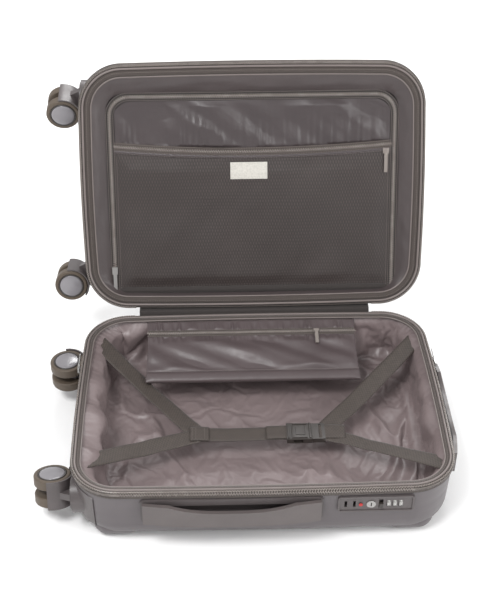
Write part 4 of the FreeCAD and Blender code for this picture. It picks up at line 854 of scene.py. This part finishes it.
# ------------------------------------------------------------------ hinge cloth
def hinge():
    n = 150; xs = np.linspace(-0.1718, 0.1718, n)
    base = np.array([(180.3, 88.9), (180.6, 91.5), (181.2, 94.2), (182.1, 96.8), (183.2, 98.9), (184.0, 100.5)])
    lidp_ = over(np.array([[0, y, z] for y, z in base[:-1][::-1]])*MM)[:, 1:]*1000
    prof = np.vstack([base, lidp_]); prof, _ = resample(prof, n=40, closed=False)
    T = np.gradient(prof, axis=0); T /= np.linalg.norm(T, axis=1)[:, None]; O = np.column_stack([T[:, 1], -T[:, 0]])
    if O[0, 0] < 0: O = -O
    rib = 0.10*np.array([math.sin(i*1.9) for i in range(40)])
    V = []
    for q, sgn in ((prof+O*(0.55+rib)[:, None], 1), (prof-O*0.45, -1)):
        G = np.zeros((n, 40, 3)); G[:, :, 0] = xs[:, None]; G[:, :, 1] = q[:, 0]*MM; G[:, :, 2] = q[:, 1]*MM
        wob = np.array([nz(x*22, 4.0)*0.00045 for x in xs])[:, None]*np.sin(np.linspace(0, math.pi, 40))[None, :]
        G[:, :, 2] += wob*0.5; G[:, :, 1] += wob*0.3
        V.append(G.reshape(-1, 3))
    k = n*40; F = grid_faces(n, 40)+[tuple(k+q for q in f[::-1]) for f in grid_faces(n, 40)]
    loop = [i*40 for i in range(n)]+[(n-1)*40+j for j in range(1, 40)]+[i*40+39 for i in range(n-2, -1, -1)]+[j for j in range(38, 0, -1)]
    for i in range(len(loop)):
        p, q = loop[i], loop[(i+1) % len(loop)]; F.append((p, q, k+q, k+p))
    ob = fix_normals(mesh("hinge_cloth", np.vstack(V), F, binding_m, slot="zip_fabric"))
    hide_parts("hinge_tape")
    e = over(np.array([[0, 0.1812, 0.0942]]))[0]
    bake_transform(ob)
hinge()

# ------------------------------------------------------------------ wheels: hubs and rings
def lathe(name, prof, centre, axis, mat, sides=48, slot=None):
    ax = np.array(axis, float); ax /= np.linalg.norm(ax); u = np.cross(ax, [1, 0, 0]) if abs(ax[0]) < 0.9 else np.cross(ax, [0, 1, 0]); u /= np.linalg.norm(u); v = np.cross(ax, u)
    th = np.linspace(0, 2*math.pi, sides, endpoint=False)
    V = []
    for (r, h) in prof:
        V.append(np.array(centre)+ax*h+np.outer(np.cos(th), u)*r+np.outer(np.sin(th), v)*r)
    V = np.vstack(V); F = grid_faces(len(prof), sides, False, True)
    F.append(tuple(range(sides))); F.append(tuple(range((len(prof)-1)*sides+sides-1, (len(prof)-1)*sides-1, -1)))
    return fix_normals(mesh(name, V, F, mat, slot=slot))

hub_m = M_plastic("hub_disc", srgb(128, 125, 129), 0.16, 900, 0.05, coat=0.6)
def casters():
    C = {"back_front": (-130.0, 49.0, -17.0), "back_rear": (130.0, 49.0, 180.0), "front_upper": (349.38, 372.34, -81.6), "front_lower": (251.98, 131.28, -101.0)}
    for tag, (y, z, ang) in C.items():
        f = math.radians(ang); tr = np.array([0, math.cos(f), math.sin(f)]); ax = np.array([0, -math.sin(f), math.cos(f)])
        c = np.array([-276.3, y, z])+tr*18
        for nm, s in (("a", 1), ("b", -1)):
            node_ = tag+"_wheel_"+nm
            co = np.array([v.co for v in N[node_].data.vertices]); mid = co.mean(0)*1000
            sgn = 1 if (mid-c) @ ax > 0 else -1
            pts = (co*1000-c) @ ax*sgn
            face = pts.max()
            cc = (c+ax*sgn*face)*MM; a = ax*sgn
            hub = lathe(node_+"_hub", [(0.0168, -0.0012), (0.0168, 0.0002), (0.0160, 0.0007), (0.0148, 0.0009), (0.006, 0.0013), (0.0004, 0.0014)], cc, a, hub_m, slot="metal")
            rg = lathe(node_+"_ring", [(0.0190, -0.001), (0.0190, 0.00035), (0.0182, 0.0006), (0.0172, 0.0005), (0.0168, -0.0002)], cc, a, black_m, slot="black_plastic")
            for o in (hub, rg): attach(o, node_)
casters()

# ------------------------------------------------------------------ lock marks
def lock_marks():
    red = Mat("red_mark", srgb(176, 40, 38), 0.35); red.tint(red.noise(200), 0.9, 1.05)
    wht = Mat("white_mark", srgb(232, 232, 228), 0.4); wht.tint(wht.noise(200), 0.95, 1.0)
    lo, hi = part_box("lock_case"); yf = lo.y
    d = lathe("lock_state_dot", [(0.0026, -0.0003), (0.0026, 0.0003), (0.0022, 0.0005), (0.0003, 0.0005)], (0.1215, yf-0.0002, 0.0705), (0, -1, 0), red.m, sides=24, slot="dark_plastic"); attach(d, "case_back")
    for i, x in enumerate((157.2, 164.9, 172.6)):
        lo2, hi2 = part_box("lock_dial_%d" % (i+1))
        cy, cz = (lo2.y+hi2.y)/2, (lo2.z+hi2.z)/2; r = (hi2.z-lo2.z)/2
        for k in range(10):
            ang = k*math.pi/5
            cu = bpy.data.curves.new("digit", "FONT"); cu.body = str(k); cu.size = 0.0030; cu.align_x = "CENTER"; cu.align_y = "CENTER"; cu.extrude = 0.00012
            o = bpy.data.objects.new("dial_%d_digit_%d" % (i+1, k), cu); bpy.context.collection.objects.link(o)
            me = bpy.data.meshes.new_from_object(o); name = o.name; bpy.data.objects.remove(o)
            q = bpy.data.objects.new(name, me); bpy.context.collection.objects.link(q)
            mt = Matrix.Translation((x*MM, cy, cz)) @ Matrix.Rotation(ang, 4, "X") @ Matrix.Translation((0, -r-0.00008, 0)) @ Matrix.Rotation(math.radians(90), 4, "X")
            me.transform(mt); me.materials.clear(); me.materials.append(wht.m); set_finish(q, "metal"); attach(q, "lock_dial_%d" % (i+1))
lock_marks()

def rbox(name, lo, hi, r, mat, slot, body_):
    lo, hi = np.array(lo)*MM, np.array(hi)*MM
    V = [(x, y, z) for x in (lo[0], hi[0]) for y in (lo[1], hi[1]) for z in (lo[2], hi[2])]
    ob = mesh(name, V, [(0, 1, 3, 2), (4, 6, 7, 5), (0, 4, 5, 1), (2, 3, 7, 6), (0, 2, 6, 4), (1, 5, 7, 3)], mat, smooth=False, slot=slot)
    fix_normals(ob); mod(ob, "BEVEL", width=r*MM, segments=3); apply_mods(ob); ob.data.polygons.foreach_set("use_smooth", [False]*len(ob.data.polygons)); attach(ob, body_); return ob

for nm, a, b in (("buckle_rail_front", (44, -52, 63.6), (64, -49.6, 65.0)), ("buckle_rail_rear", (44, -26.4, 63.6), (64, -24, 65.0)), ("buckle_bar_left", (37, -52.5, 63.4), (40, -23.5, 65.2)), ("buckle_bar_mid", (42.5, -52.5, 63.4), (44.5, -23.5, 65.0)), ("buckle_bar_right", (66.5, -52.5, 63.4), (69.3, -23.5, 65.2)), ("buckle_pad", (48, -46, 63.6), (61, -30, 64.5))):
    rbox(nm, a, b, 0.6, black_m, "black_plastic", "case_back")

# dark lines along the joint between the grip ends and the handle plate: the joint is real, its dark colour is painted
# shade of the gap
def plate_seams():
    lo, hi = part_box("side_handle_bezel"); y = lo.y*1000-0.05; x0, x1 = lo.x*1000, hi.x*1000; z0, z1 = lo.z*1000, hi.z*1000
    for i, (xa, sg) in enumerate(((x0, 1), (x1, -1))):
        for j, (p0, p1) in enumerate((((xa+sg*34, z0+2), (xa+sg*34, z0+22)), ((xa+sg*34, z0+22), (xa+sg*20, z1-3)))):
            pts = np.array([[p0[0], y, p0[1]], [(p0[0]+p1[0])/2, y, (p0[1]+p1[1])/2], [p1[0], y, p1[1]]])*MM
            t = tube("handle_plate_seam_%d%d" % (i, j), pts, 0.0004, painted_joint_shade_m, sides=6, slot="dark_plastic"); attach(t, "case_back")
plate_seams()
print("script pieces", round(time.time()-t0, 1))
